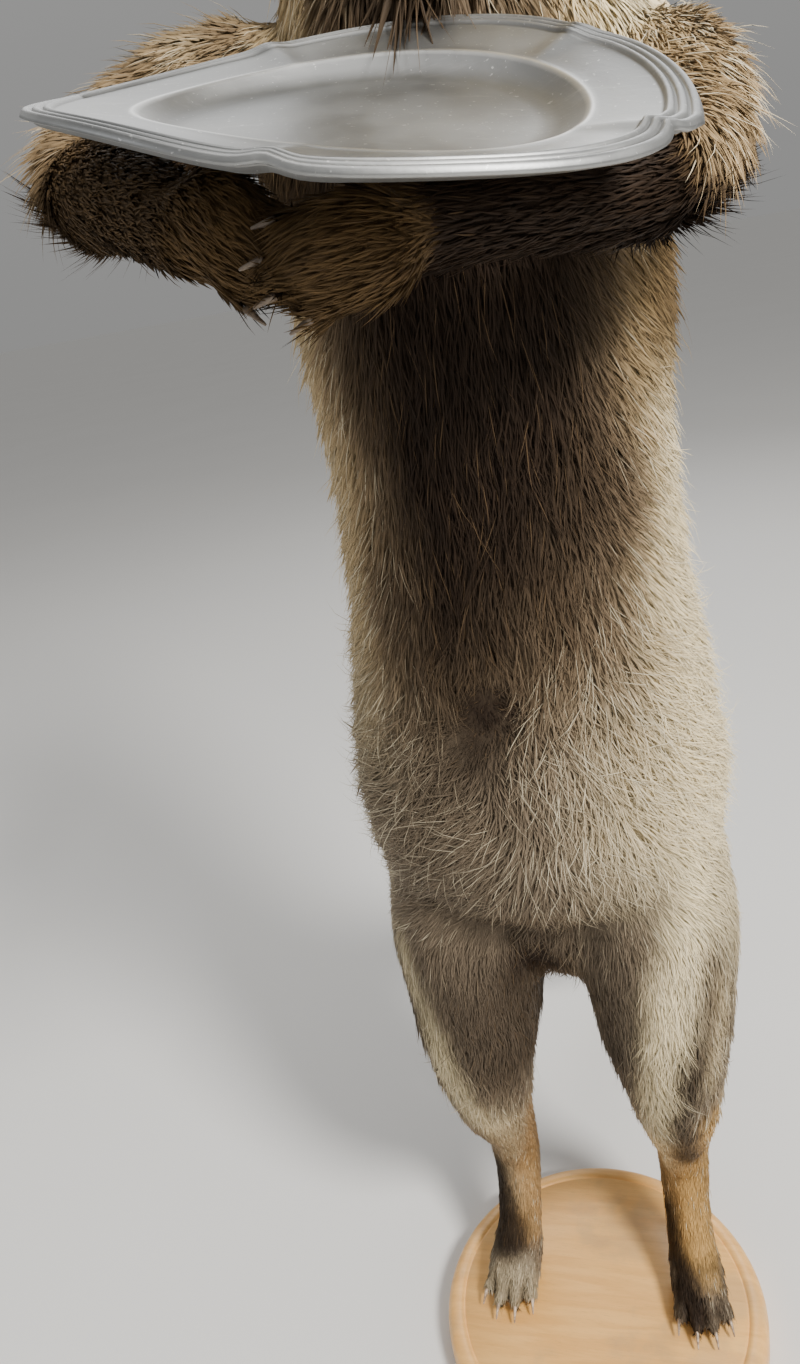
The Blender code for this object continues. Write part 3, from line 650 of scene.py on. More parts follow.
def mark_trunk(at, coat):
    """A nearly black middle under the arms that fades to taupe below, cream flanks and a rust back; the
    middle's dark is partly painted shade under the platter and arms, and more painted shade and light lie on
    the flanks, chest, thighs and belly.
    """
    x, z, aside = at.x, at.z, at.aside
    trunk = at.on("chest", "belly", "hips", "neck")
    thigh = at.on("thigh")
    high = rise(z, 0.765, 0.800)                     # above the arms the dark narrows to a streak
    below_throat = 1 - rise(z, 0.855, 0.910)
    from_core = np.abs(at.around - 5)
    from_middle = np.abs(at.around - 3)
    # the nearly black core and the darker middle round it: partly the coat's own dark, partly painted shade
    # under the platter and the arms
    middle = trunk * rise(z - 0.9 * (x - 0.005), 0.44, 0.63) * below_throat
    core = trunk * rise(z - 0.9 * (x - 0.005), 0.47, 0.63) * below_throat
    coat.add(dark=0.97 * core * (1 - rise(from_core, 24 - 17 * high, 47 - 27 * high)))
    coat.add(dark=0.50 * middle * (1 - rise(from_middle, 26 - 6 * high, 58 - 14 * high)))
    flank = trunk * rise(from_middle, 38, 62) * (1 - at.back) * (1 - rise(z, 0.84, 0.92))
    # the fox's left flank, which faces the key lamp, gets far more cream than the right: partly the coat's
    # own colour, partly painted light
    coat.add(cream=flank * np.where(at.right, 0.38, 0.90) * rise(z, 0.44, 0.52),
             gold=flank * np.where(at.right, 0.42, 0.44) * rise(z, 0.48, 0.60))
    coat.add(gold=0.30 * flank * ~at.right * rise(z, 0.60, 0.67))
    # painted shadow of the left arm on the flank below it: darker and more gold, with less cream
    arm_shadow = flank * ~at.right * rise(z, 0.645, 0.690) * (1 - rise(z, 0.74, 0.79))
    coat.add(gold=0.65 * arm_shadow, dark=0.76 * arm_shadow)
    coat.fade(cream=0.8 * arm_shadow)
    # painted shade on the right of the chest, under the platter and above the forearm: dark, with its cream
    # faded
    platter_shade = trunk * at.right * rise(z, 0.728, 0.745) * (1 - rise(z, 0.792, 0.812))
    platter_shade = platter_shade * (1 - rise(at.around, -35, -22)) * rise(at.around, -92, -76)
    coat.add(dark=0.90 * platter_shade)
    coat.fade(cream=0.9 * platter_shade)
    ruffled = trunk * high * below_throat * rise(from_core, 18, 34) * (1 - rise(aside, 60, 85))
    coat.add(gold=0.45 * ruffled, cream=0.22 * ruffled)
    low = (trunk | thigh) * (1 - rise(z, 0.47, 0.56)) * (1 - at.back)
    belly = low * ~thigh
    # the belly's left half, towards the key lamp, gets cream and the left hip a cream patch, and the right
    # half is darkened: partly the coat's own colour, partly painted light and shade
    coat.add(grey=0.9 * low, cream=belly * rise(x, 0.005, 0.088) * (0.90 - 0.42 * (1 - rise(z, 0.38, 0.45))))
    coat.add(cream=0.75 * (trunk | thigh) * lump(at.points, (0.096, -0.012, 0.405), (0.030, 0.04, 0.075)),
             dark=0.26 * belly * (1 - rise(x, -0.03, 0.03)))
    # painted shade on the fronts of the thighs under the belly and the platter, heavier on the right thigh
    thigh_front_shade = thigh * (1 - rise(aside, 62, 85)) * rise(z, 0.225, 0.285) * (1 - 0.55 * rise(z, 0.330, 0.385))
    coat.add(dark=np.where(at.right, 0.62, 0.38) * thigh_front_shade)
    # painted shade along the belly's lower edge in front, with less of it on the thigh tops below
    belly_edge_shade = low * (1 - rise(z, 0.37, 0.45)) * (1 - rise(aside, 35, 62))
    coat.add(dark=np.where(thigh, 0.25, 0.60) * belly_edge_shade)
    coat.add(dark=0.22 * low * lump(at.points, (0.012, -0.060, 0.430), (0.055, 0.050, 0.065)))
    coat.add(dark=0.16 * low * (1 - rise(np.abs(x + 0.008), 0.010, 0.035)) * rise(z, 0.44, 0.48))
    coat.add(rust=at.back * (trunk | thigh) * (0.72 + 0.12 * waves(at.points, 0.05, 13)))
    coat.tick += 0.08 * belly - 0.20 * at.back
    neck = at.on("neck") | (at.on("chest") & (z > 0.80))
    coat.add(cream=0.80 * neck * (1 - rise(aside, 40, 75)) * rise(z, 0.83, 0.90),
             rust=0.65 * neck * rise(aside, 60, 90) * rise(z, 0.83, 0.88))


def mark_arms(at, coat):
    """Upper arms grizzled tan over dark, with painted light on top and painted shade beneath, dark forearms
    and paws, the left forearm and elbow darker still as painted shade, and the tuft that hangs from the
    chest.
    """
    up = at.facing[2]
    upper = at.on("upper_arm")
    forearm = at.on("forearm")
    paw = at.on("forepaw")
    patchy = 0.5 + 0.5 * waves(at.points, 0.035, 5)
    # the cream on the upper arms grows towards their tops: partly painted light
    coat.add(gold=0.30 * upper, cream=upper * (0.12 + 0.22 * patchy) * rise(up, -0.5, 0.3),
             rust=upper * (0.20 + 0.35 * patchy * rise(np.abs(at.x), 0.09, 0.12)))
    coat.add(dark=upper * (0.10 + 0.30 * (1 - patchy)))
    # painted shade under the upper arms, and more of it on the right one
    coat.add(dark=0.85 * upper * (1 - rise(up, -0.35, 0.15)))
    coat.add(dark=0.34 * upper * at.right)
    tuft = lump(at.points, BIB, (0.022, 0.030, 0.032))
    coat.fade(dark=0.22 * tuft)
    # forearms and paws are dark of their own; the left forearm's extra dark over the right's is painted shade
    # of the platter
    coat.add(dark=np.where(at.right, 0.81, 0.99) * forearm + 0.78 * paw, gold=0.50 * forearm + 0.60 * paw)
    # painted shade under the left elbow
    elbow_shade = upper * ~at.right * (1 - rise(at.z, 0.735, 0.765)) * (1 - rise(up, -0.3, 0.3))
    coat.add(dark=0.95 * elbow_shade)
    coat.tick += 0.25 * upper + 0.60 * tuft - 0.45 * forearm - 0.12 * paw


def mark_legs(at, coat):
    """Bands and stripes down the thighs, and black, gold and grey lower legs that differ left and right."""
    points, z, right = at.points, at.z, at.right
    thigh = at.on("thigh")
    shank = at.on("shank")
    foot = at.on("hind_foot")
    toes = at.on("hind_paw")
    leg = at.on("thigh", "shank", "hind_foot", "hind_paw", "hips")
    # the darkening of the thighs' inner sides, between the legs, is painted shade; their outer rust and cream
    # are the coat's own
    coat.add(rust=0.45 * thigh * rise(at.aside, 70, 95), cream=0.30 * thigh * rise(at.aside, 60, 80),
             dark=0.20 * thigh * (1 - rise(np.abs(at.x), 0.030, 0.055)) * rise(z, 0.225, 0.285))
    coat.add(gold=np.where(right, 0.12, 0.40) * shank + np.where(right, 0.16, 0.45) * foot,
             grey=np.where(right, 0.80, 0.60) * shank + np.where(right, 0.6, 0.0) * foot,
             cream=0.12 * (shank | foot) * right, dark=0.16 * (shank | foot) * right)
    coat.add(grey=0.7 * toes, cream=0.30 * toes * right * (1 - rise(at.y, -0.004, 0.014)),
             dark=np.where(right, 0.22, 0.62) * toes * (0.75 + 0.4 * waves(points, 0.012, 8)))
    left_leg = leg & ~right
    right_leg = leg & right
    inner_gold = right_leg * trail(points, INNER_GOLD, 0.014)
    coat.add(gold=0.85 * left_leg * trail(points, LEG_GOLD, 0.018), rust=0.60 * inner_gold,
             cream=0.25 * right_leg * trail(points, FRONT_TAN, 0.016),
             dark=0.94 * left_leg * trail(points, INNER_BLACK, 0.0115))
    coat.add(gold=0.50 * inner_gold, dark=0.94 * right_leg * trail(points, OUTER_BLACK, 0.0165))
    shift = 0.0035 * waves(points, 0.02, 9)[:, None]
    uneven = points + shift
    band = leg * np.where(right, 0.95 * trail(uneven, OUTER_BAND, 0.0135), trail(uneven, LEG_BAND, 0.0165))
    coat.add(cream=0.97 * band * (0.50 + 0.50 * rise(z, 0.215, 0.275)))
    coat.fade(dark=0.9 * band, rust=0.9 * band)
    outside = left_leg * trail(uneven, OUTER_TAN, 0.0120)
    coat.add(cream=0.50 * outside, gold=0.30 * outside)
    coat.fade(dark=0.6 * outside)
    either = np.where(right[:, None], points * (-1, 1, 1), points) + shift
    stripe = np.maximum(0.55 * trail(either, STRIPE_TOP, 0.0085), trail(either, LEG_STRIPE, 0.0112))
    stripe = leg * stripe * np.where(right, 0.6, 1.0)
    coat.add(dark=0.90 * stripe)
    coat.fade(cream=0.9 * stripe)


def mark_tail(at, coat):
    """Rust, clouded with black, with a white tip."""
    tail = at.on("tail_root", "tail_brush")
    coat.add(rust=0.75 * tail, dark=0.30 * tail * (0.8 + 0.5 * waves(at.points, 0.04, 6)),
             cream=0.95 * at.on("tail_tip"))
    coat.tick -= 0.28 * tail


def mark_head(at, coat):
    """A rust mask and crown over white cheeks and lips, dark rims to the eyes, and ears black behind."""
    place = head_frame(at.points)
    x, y, z = place.T
    wide = np.abs(x)
    head = at.on("head")
    ear = at.on("ear")
    coat.add(rust=0.85 * head)
    coat.tick -= 0.33 * head
    drop = -z + 0.30 * wide + 0.10 * (y + 0.05) + 0.0025 * waves(at.points, 0.022, 21)
    cheek = head * rise(drop, 0.009, 0.027)
    cheek = cheek * (1 - rise(np.degrees(np.arctan2(wide, 0.012 - y)), 88, 122))
    lip = head * (1 - rise(y, -0.085, -0.070)) * rise(-z, 0.006, 0.013)
    coat.add(cream=cheek)
    coat.add(cream=0.9 * lip)
    coat.fade(rust=0.9 * np.maximum(cheek, lip))
    tear = head * np.maximum(*(trail(place * (s, 1, 1), TEAR, 0.0045) for s in (1, -1)))
    coat.add(dark=0.55 * tear)
    coat.fade(cream=0.7 * tear)
    rims = np.maximum(*(1 - rise(lids(place, s)[3], 1.5, 2.1) for s in (1, -1)))
    coat.add(dark=0.9 * head * rims)
    coat.add(dark=0.6 * head * (1 - rise(y, -0.122, -0.112)) * rise(z, -0.022, -0.012))
    coat.add(rust=0.6 * ear, dark=0.93 * ear * rise(at.facing[1], -0.25, 0.20) * rise(z, 0.035, 0.060))
    inside = ear * (1 - rise(at.facing[1], -0.45, -0.1))
    coat.add(cream=0.70 * inside)
    coat.fade(rust=0.8 * inside)
    cup = inside * rise(wide, 0.040, 0.048) * (1 - rise(wide, 0.056, 0.066)) * (1 - rise(z, 0.075, 0.095))
    coat.add(dark=0.45 * cup)
    coat.add(dark=0.9 * head * trail(np.abs(place) * (1, -1, -1), MOUTH, 0.0030))


def marks(points, names, normals):
    """Shares of dark, rust, cream, grey, gold and pale long hairs in the coat at the given places."""
    at = Place(points, names, normals)
    coat = Shares(len(points))
    for mark in (mark_trunk, mark_arms, mark_legs, mark_tail, mark_head):
        mark(at, coat)
    tick = np.clip(coat.tick * (1 - 0.7 * coat.dark), 0.03, 0.9)
    return np.clip(np.stack([coat.dark, coat.rust, coat.cream, coat.grey, coat.gold, tick], 1), 0, 1)


# ---------------------------------------------------------------- coat
PATCH = 0.003                               # a tuft's patch on the bake map
TUFTS = {  # columns of COAT; bends along a tuft and its width there; faces; the corners' places on the patch
    "under": {
        "columns": (UNDER, UNDER_WIDE, UNDER_DENSE),
        "bends": ((0.45, 1.0),),
        "faces": [(0, 1, 2), (1, 3, 2), (0, 2, 3), (0, 3, 1)],
        "patch": [(0, -0.5), (-0.4, 0), (0.4, 0), (0, 0.5)],
        "along": [0, 0.45, 0.45, 1],
    },
    "long": {
        "columns": (LONG, LONG_WIDE, LONG_DENSE),
        "bends": ((0.35, 1.0), (0.70, 0.65)),
        "faces": [(0, 1, 3), (0, 3, 2), (0, 2, 1), (1, 4, 6), (1, 6, 3), (3, 6, 5), (3, 5, 2), (2, 5, 4),
                  (2, 4, 1), (4, 7, 6), (6, 7, 5), (5, 7, 4)],
        "patch": [(0, -0.5), (-0.4, -0.15), (0.4, -0.15), (0, -0.15), (-0.25, 0.2), (0.25, 0.2), (0, 0.2),
                  (0, 0.5)],
        "along": [0, 0.35, 0.35, 0.35, 0.7, 0.7, 0.7, 1],
    },
}


def triangles_of(mesh):
    """The mesh's triangles as rows of corners and of loops."""
    mesh.calc_loop_triangles()
    count = len(mesh.loop_triangles) * 3
    corners, loops = np.empty(count, np.int32), np.empty(count, np.int32)
    mesh.loop_triangles.foreach_get("vertices", corners)
    mesh.loop_triangles.foreach_get("loops", loops)
    return corners.reshape(-1, 3), loops.reshape(-1, 3)


def unwrap(thing):
    """Lay out the skin's own shape as the map OFBake."""
    for other in bpy.context.selected_objects:
        other.select_set(False)
    thing.select_set(True)
    bpy.context.view_layer.objects.active = thing
    thing.data.uv_layers.new(name="OFBake")
    bpy.ops.object.mode_set(mode="EDIT")
    bpy.ops.mesh.select_all(action="SELECT")
    bpy.ops.uv.smart_project(angle_limit=math.radians(66), island_margin=0.002)
    bpy.ops.object.mode_set(mode="OBJECT")
    flat = np.empty(len(thing.data.loops) * 2, np.float32)
    thing.data.uv_layers["OFBake"].uv.foreach_get("vector", flat)
    return flat.reshape(-1, 2)


def scatter(areas, number):
    """Random places on triangles: the triangle and the weights of its corners, `number` to a square metre."""
    count = np.floor(areas * number + rng.random(len(areas))).astype(int)
    chosen = np.repeat(np.arange(len(areas)), count)
    u, v = rng.random((2, len(chosen)))
    flip = u + v > 1
    u, v = np.where(flip, 1 - u, u), np.where(flip, 1 - v, v)
    return chosen, np.stack([1 - u - v, u, v], 1)


def blend_at(values, corners, weights):
    """Values at places inside triangles."""
    return (values[corners] * weights[:, :, None]).sum(1)


def nearest(points, others):
    """The number of the other point that is nearest to each."""
    tree = KDTree(len(others))
    for k, other in enumerate(others):
        tree.insert(other, k)
    tree.balance()
    return np.array([tree.find(point)[1] for point in points])


class Roots:
    """Random places where tufts grow, with what the skin and the nearest lock say there."""

    def __init__(self, skin, corners, areas, number, locks):
        chosen, weights = scatter(areas, number)
        points = blend_at(skin.points, corners[chosen], weights)
        keep = ~bare(points)
        self.triangle, self.weights, self.points = chosen[keep], weights[keep], points[keep]
        spot = corners[self.triangle]
        self.normals = unit(blend_at(skin.normals, spot, self.weights))
        self.lie = unit(blend_at(skin.lie, spot, self.weights))
        self.coat = blend_at(skin.coat, spot, self.weights)
        self.marks = blend_at(skin.marks, spot, self.weights)
        self.label = skin.label[spot[:, 0]]
        lock = nearest(self.points, locks)
        self.to_lock = locks[lock] - self.points
        self.roll = np.random.default_rng(5).normal(size=(len(locks), 3))[lock]


def grow(kind, points, aim, normals, length, width, rising, curl, pull):
    """Corners and normals of tufts that rise from the root to a point: flat blades or three-sided hairs."""
    side = unit(np.cross(aim, normals))

    def course(t):
        high = (np.sin(rising) * (t - 0.42 * t * t))[:, None]
        swing = t if kind == "under" else t * t
        lean = (curl * swing)[:, None]
        onward = (np.cos(rising) * t)[:, None]
        return points + length[:, None] * (aim * onward + normals * high + side * lean) + pull * swing

    rows = [course(0.0) - normals * 0.0005]         # the root is a little under the skin
    facing = [normals]
    for t, share in TUFTS[kind]["bends"]:
        middle = course(t)
        half = side * (width * share)[:, None]
        rows += [middle + half, middle - half]
        facing += [normals + 0.55 * side, normals - 0.55 * side]
        if kind == "long":
            rows.append(middle + normals * (width * share)[:, None])
            facing.append(normals)
    rows.append(course(1.0))
    facing.append(normals + 0.35 * aim)
    return np.stack(rows, 1), unit(np.stack(facing, 1))


def rein(tufts):
    """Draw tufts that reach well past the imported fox's box back towards their roots."""
    low, high = (np.array(corner) for corner in CAD_BOX)
    spare = PAST_BOX * (high - low)
    roots = tufts[:, :1]
    reach = tufts - roots
    room = np.where(reach > 0, high + spare - roots, roots - low + spare)
    share = np.clip(room / np.maximum(np.abs(reach), 1e-9), 0.1, 1.0).min(axis=(1, 2))
    return roots + reach * share[:, None, None]


def coat_piece(name, batches):
    """One joined mesh of tufts, with its bake map, soft normals and what the material reads."""
    spots, turned, faces, flat = [], [], [], []
    fields = {key: [] for key in ("marks", "ground", "strand")}
    start = 0
    for kind, corners, facing, uv, marked, ground, tone in batches:
        shape = TUFTS[kind]
        count, size = corners.shape[:2]
        own = np.array(shape["faces"])[None] + size * np.arange(count)[:, None, None]
        patch = (uv[:, None] + PATCH * np.array(shape["patch"])[None]).reshape(-1, 2)
        flat.append(patch[own.reshape(-1)])
        faces.append(own.reshape(-1) + start)
        spots.append(corners.reshape(-1, 3))
        turned.append(facing.reshape(-1, 3))
        strand = np.empty((count, size, 3))
        strand[:, :, 0] = shape["along"]
        strand[:, :, 1] = tone[:, None]
        strand[:, :, 2] = float(kind == "long")
        fields["strand"].append(strand.reshape(-1, 3))
        fields["marks"].append(np.repeat(marked, size, 0))
        fields["ground"].append(np.repeat(ground, size, 0))
        start += count * size
    faces = np.concatenate(faces).astype(np.int32)
    mesh = bpy.data.meshes.new(name)
    mesh.vertices.add(start)
    mesh.vertices.foreach_set("co", np.concatenate(spots).astype(np.float32).ravel())
    mesh.loops.add(len(faces))
    mesh.loops.foreach_set("vertex_index", faces)
    mesh.polygons.add(len(faces) // 3)
    mesh.polygons.foreach_set("loop_start", np.arange(0, len(faces), 3, dtype=np.int32))
    mesh.update(calc_edges=True)
    mesh.polygons.foreach_set("use_smooth", np.ones(len(faces) // 3, bool))
    layer = mesh.uv_layers.new(name="OFBake")
    layer.uv.foreach_set("vector", np.concatenate(flat).astype(np.float32).ravel())
    for key, values in fields.items():
        attribute = mesh.attributes.new(key, "FLOAT_VECTOR", "POINT")
        attribute.data.foreach_set("vector", np.concatenate(values).astype(np.float32).ravel())
    mesh.normals_split_custom_set_from_vertices(np.concatenate(turned))
    return link(mesh, name)


def style(kind, roots):
    """Corners, normals and tones of tufts.

    They gather in locks, and are loose low down, long on the bib and closed at the tail's tip.
    """
    count = len(roots.points)
    normals, roll = roots.normals, roots.roll.T
    length_column, width_column, _ = TUFTS[kind]["columns"]
    bib = lump(roots.points, BIB, (0.0125, 0.030, 0.025))
    line = unit(np.array(TAIL_LINE))
    cap = np.isin(roots.label, [FLESH.index("tail_tip"), FLESH.index("tail_brush")])
    cap = cap * rise(normals @ line, 0.10, 0.75)
    loose = (1.0 if kind == "under" else 1.7) * rise(roots.coat[:, UNDER], 0.007, 0.020)
    loose *= 0.35 + 0.65 * rise(0.60 - roots.points[:, 2], 0.0, 0.10)
    lean = loose * (0.22 * waves(roots.points, 0.034, 12) + 0.14 * roll[0])
    lean += (0.10 + 0.10 * loose) * rng.normal(size=count)
    side = unit(np.cross(roots.lie, normals))
    aim = unit(roots.lie * np.cos(lean)[:, None] + side * np.sin(lean)[:, None])
    aim = unit(aim + (bib * 14.0 * (BIB[0] - roots.points[:, 0]))[:, None] * np.array((1.0, 0.0, 0.0)))
    aim = unit(aim * (1 - cap)[:, None] + line * (1.4 * cap)[:, None])
    length = roots.coat[:, length_column] * (1 + 0.20 * rng.normal(size=count).clip(-2, 2))
    length *= (1 + 0.10 * roll[1]) * (1 - 0.90 * roots.marks[:, 6]) * (1 + 1.85 * bib) * (1 - 0.45 * cap)
    width = roots.coat[:, width_column] * rng.uniform(0.7, 1.3, count)
    spread = 1 + 0.35 * rng.normal(size=count).clip(-1.6, 2.2) + 0.15 * roll[2]
    rising = (np.radians(roots.coat[:, RISE]) * spread + np.radians(38) * bib) * (1 - cap)
    curl = loose * 0.20 * rng.normal(size=count)
    grip = rng.uniform(0.15, 0.75, count) * (0.9 if kind == "under" else 0.6)
    pull = roots.to_lock * grip[:, None] + bib[:, None] * np.array((0, -0.020, -0.005))
    tufts, facing = grow(kind, roots.points, aim, normals, length, width, rising, curl, pull)
    tone = np.clip(rng.random(count) * 0.8 + 0.1 + 0.10 * roll[1], 0, 1)
    if kind == "long":
        tone = rng.random(count)
    return rein(tufts), facing, tone


def make_coat(skin, flat_uv, finish):
    """Short under hair and longer guard hair all over, joined into pieces by the part that it grows on."""
    corners, loops = triangles_of(skin.mesh)
    a, b, c = (skin.points[corners[:, k]] for k in range(3))
    areas = np.linalg.norm(np.cross(b - a, c - a), axis=1) / 2
    coat = skin.coat[corners].mean(1)
    chosen, weights = scatter(areas * (0.25 + 1.4 * rise(coat[:, UNDER], 0.030, 0.008)), LOCKS)
    locks = blend_at(skin.points, corners[chosen], weights)
    batches = {name: [] for name in FLESH}
    for kind, shape in TUFTS.items():
        dense = shape["columns"][2]
        roots = Roots(skin, corners, areas, coat[:, dense] * 1e4 * ROUGH, locks)
        uv = (flat_uv[loops[roots.triangle]] * roots.weights[:, :, None]).sum(1)
        tufts, facing, tone = style(kind, roots)
        for index, name in enumerate(FLESH):
            mine = np.flatnonzero(roots.label == index)
            order = mine[np.argsort(roots.points[mine] @ (0.3, 0.0, 1.0))]
            batches[name].append([kind, tufts[order], facing[order], uv[order], roots.marks[order, :3],
                                  roots.marks[order, 3:6], tone[order]])
    for name, kinds in batches.items():
        size = sum(len(batch[1]) * len(TUFTS[batch[0]]["faces"]) for batch in kinds)
        shares = math.ceil(size / COAT_FACES)
        for k in range(shares):
            cut = [[batch[0], *(np.array_split(field, shares)[k] for field in batch[1:])] for batch in kinds]
            made = coat_piece(f"coat_{name}" + (f"_{k + 1}" if shares > 1 else ""), cut)
            piece(made, finish, slot_of(name))


def make_whiskers(skin, finish):
    """Four rows of stiff black whiskers on each side of the muzzle, and two over each eye."""
    roots, lengths = [], []
    for s in (1, -1):
        for row in range(4):
            for k in range(4):
                roots.append((s * 0.020, -0.110 + 0.0080 * k + 0.002 * (row % 2), -0.0165 + 0.0042 * row))
                lengths.append(0.030 + 0.009 * k + 0.004 * row)
        for k in range(2):
            roots.append((s * (0.019 + 0.005 * k), -0.048, 0.028))
            lengths.append(0.022)
    near = nearest(from_head(np.array(roots)), skin.points)
    points = skin.points[near]
    normals = skin.normals[near]
    count = len(near)
    aim = unit(np.array((0.0, 0.75, -0.10)) + 0.12 * rng.normal(size=(count, 3)))
    aim = flatten(aim, normals)
    rising = np.radians(rng.uniform(50, 68, count))
    length = np.array(lengths) * rng.uniform(0.85, 1.15, count)
    tufts, facing = grow("long", points, aim, normals, length, np.full(count, 0.00020), rising,
                         0.10 * rng.normal(size=count), np.zeros((count, 3)))
    black = np.tile((1.0, 0.0, 0.0), (count, 1))
    spots = np.stack([np.linspace(0.01, 0.99, count), np.full(count, 0.004)], 1)
    batch = ["long", tufts, facing, spots, black, np.zeros((count, 3)), np.full(count, 0.4)]
    piece(coat_piece("whiskers", [batch]), finish, slot_of("head"))


def slot_of(name):
    return {node["node"]: node["material_slot"] for node in frame["record"]["subparts"]}[name]


def bare(points):
    """True where no hair grows: inside the lids, on the nose and along the lips."""
    place = head_frame(points)
    none = np.zeros(len(points), bool)
    for s in (1, -1):
        far, _, _, opening = lids(place, s)
        none |= (opening < 1.45) & (np.linalg.norm(far, axis=1) < 0.013)
        none |= np.linalg.norm(far, axis=1) < EYE_RADIUS
    none |= (place[:, 1] < -0.1285) & (np.abs(place[:, 0]) < 0.012) & (place[:, 2] > -0.021)
    none |= (points[:, 2] > HEAD_FROM) & (trail(np.abs(place) * (1, -1, -1), MOUTH, 0.0014) > 0.5)
    return none


# ---------------------------------------------------------------- finishes
def fur_colour(finish, marked, ground, tone, along, kind):
    """The coat's colour, the same on skin and tufts."""
    dark, rust, cream = marked
    grey, gold, tick = ground
    patch = finish.noise(45.0, detail=2.0)
    colour = finish.mix(patch.step(0.35, 0.65), (0.175, 0.122, 0.072), (0.240, 0.172, 0.105))
    colour = finish.mix(grey, colour, (0.250, 0.196, 0.136))
    colour = finish.mix(rust, colour, (0.330, 0.150, 0.052))
    colour = finish.mix(gold, colour, (0.480, 0.285, 0.095))
    colour = finish.mix(cream, colour, (0.780, 0.655, 0.405))
    colour = finish.mix(dark, colour, (0.019, 0.0110, 0.0065))
    pale = kind * (tick - tone).step(-0.02, 0.02) * along.step(0.1, 0.5)
    pale_colour = finish.mix(dark.step(0.15, 0.8), (0.80, 0.70, 0.50), (0.13, 0.082, 0.042))
    colour = finish.mix(pale * 0.80, colour, pale_colour)
    light = tone.step(0.0, 1.0, 0.80, 1.22) * along.step(0.05, 0.95, 0.74, 1.20)
    scale = finish.node("ShaderNodeCombineColor", None, {0: light, 1: light, 2: light})
    return finish.mix(1.0, colour, scale, "MULTIPLY")


def fur_finish():
    made = Finish("coat_hair", Roughness=0.60, Specular_IOR_Level=0.12)
    along, tone, kind = made.shares("strand")
    made.wear(Base_Color=fur_colour(made, made.shares("marks"), made.shares("ground"), tone, along, kind))
    return made


def skin_finish():
    made = Finish("skin", Roughness=0.8, Specular_IOR_Level=0.15)
    streak = made.noise(900.0, made.place(scale=(1, 1, 0.25)), 3.0, 0.7)
    colour = fur_colour(made, made.shares("marks"), made.shares("ground"), streak, streak * 0.6, streak * 0.0)
    made.wear(Base_Color=colour, Normal=made.bump(streak, 0.0006, 0.8))
    return made


def pewter_finish():
    made = Finish("pewter", Metallic=1.0)
    groove, brink_polish_and_highlight, _ = made.shares("relief")
    cloud = made.noise(22.0, detail=5.0)
    broad = made.noise(7.0, made.place(scale=(0.6, 1.0, 1.0), shift=(0.3, 0.1, 0)), 2.0, 0.5)
    speck = made.noise(520.0, made.place(), 2.0, 0.6)
    drag = made.noise(240.0, made.place(scale=(0.05, 1.0, 1.0), turn=(0, 0, 0.16)), 4.0, 0.65)
    colour = made.mix(cloud.step(0.35, 0.7), (0.285, 0.290, 0.290), (0.400, 0.405, 0.400))
    colour = made.mix(broad.step(0.40, 0.62) * 0.45, colour, (0.215, 0.220, 0.220))
    colour = made.mix(drag.step(0.56, 0.74) * 0.18, colour, (0.62, 0.62, 0.61))
    colour = made.mix(speck.step(0.66, 0.74) * 0.55, colour, (0.78, 0.78, 0.77))
    colour = made.mix(groove * 0.72, colour, (0.110, 0.110, 0.105))
    # a bright, smoother band along the well's brink: partly rubbed polish, partly painted highlight
    colour = made.mix(brink_polish_and_highlight * 0.75, colour, (0.78, 0.78, 0.76))
    rough = cloud.step(0.3, 0.7, 0.40, 0.51) - brink_polish_and_highlight * 0.08
    made.wear(Base_Color=colour, Roughness=rough,
              Normal=made.bump(speck, 0.00010, 0.5, made.bump(drag, 0.0001, 0.25)))
    return made


def wood_finish():
    made = Finish("turned_wood", Coat_Weight=0.25, Coat_Roughness=0.25)
    turn = (0, 0, math.radians(24))
    grain = made.noise(16.0, made.place(scale=(1.0, 9.0, 9.0), turn=turn), 6.0, 0.6, 0.6)
    pore = made.noise(150.0, made.place(scale=(1.0, 14.0, 14.0), turn=turn), 3.0, 0.6)
    colour = made.mix(grain.step(0.3, 0.72), (0.89, 0.50, 0.155), (0.77, 0.395, 0.108))
    colour = made.mix(pore.step(0.55, 0.75) * 0.30, colour, (0.33, 0.17, 0.07))
    blotch = made.noise(19.0, detail=5.0)
    colour = made.mix(blotch.step(0.52, 0.68) * 0.34, colour, (0.36, 0.27, 0.165))
    made.wear(Base_Color=colour, Roughness=grain.step(0.2, 0.8, 0.36, 0.5),
              Normal=made.bump(grain + pore * 0.4, 0.0004, 0.3))
    return made


def horn_finish(name, horn_tone_and_shade):
    made = Finish(name, Roughness=0.42)
    streak = made.noise(160.0, made.place(scale=(1, 1, 3)), 3.0)
    deep, pale = (tuple(horn_tone_and_shade * c for c in colour) for colour in ((0.22, 0.15, 0.10), (0.50, 0.38, 0.27)))
    made.wear(Base_Color=made.mix(streak.step(0.35, 0.65), deep, pale))
    return made


def nose_finish():
    made = Finish("nose_leather", Roughness=0.46, Specular_IOR_Level=0.22)
    cells = made.node("ShaderNodeTexVoronoi", {"feature": "DISTANCE_TO_EDGE"},
                      {"Vector": made.place(), "Scale": 1300.0}, "Distance")
    cloud = made.noise(300.0)
    made.wear(Base_Color=made.mix(cloud, (0.004, 0.0035, 0.0035), (0.012, 0.010, 0.009)),
              Normal=made.bump(cells.step(0.0, 0.25), 0.00012, 0.6))
    return made


def floor_finish():
    made = Finish("floor", Roughness=0.85)
    cloud = made.noise(1.5, detail=2.0)
    made.wear(Base_Color=made.mix(cloud, (0.74, 0.73, 0.71), (0.78, 0.77, 0.75)))
    return made


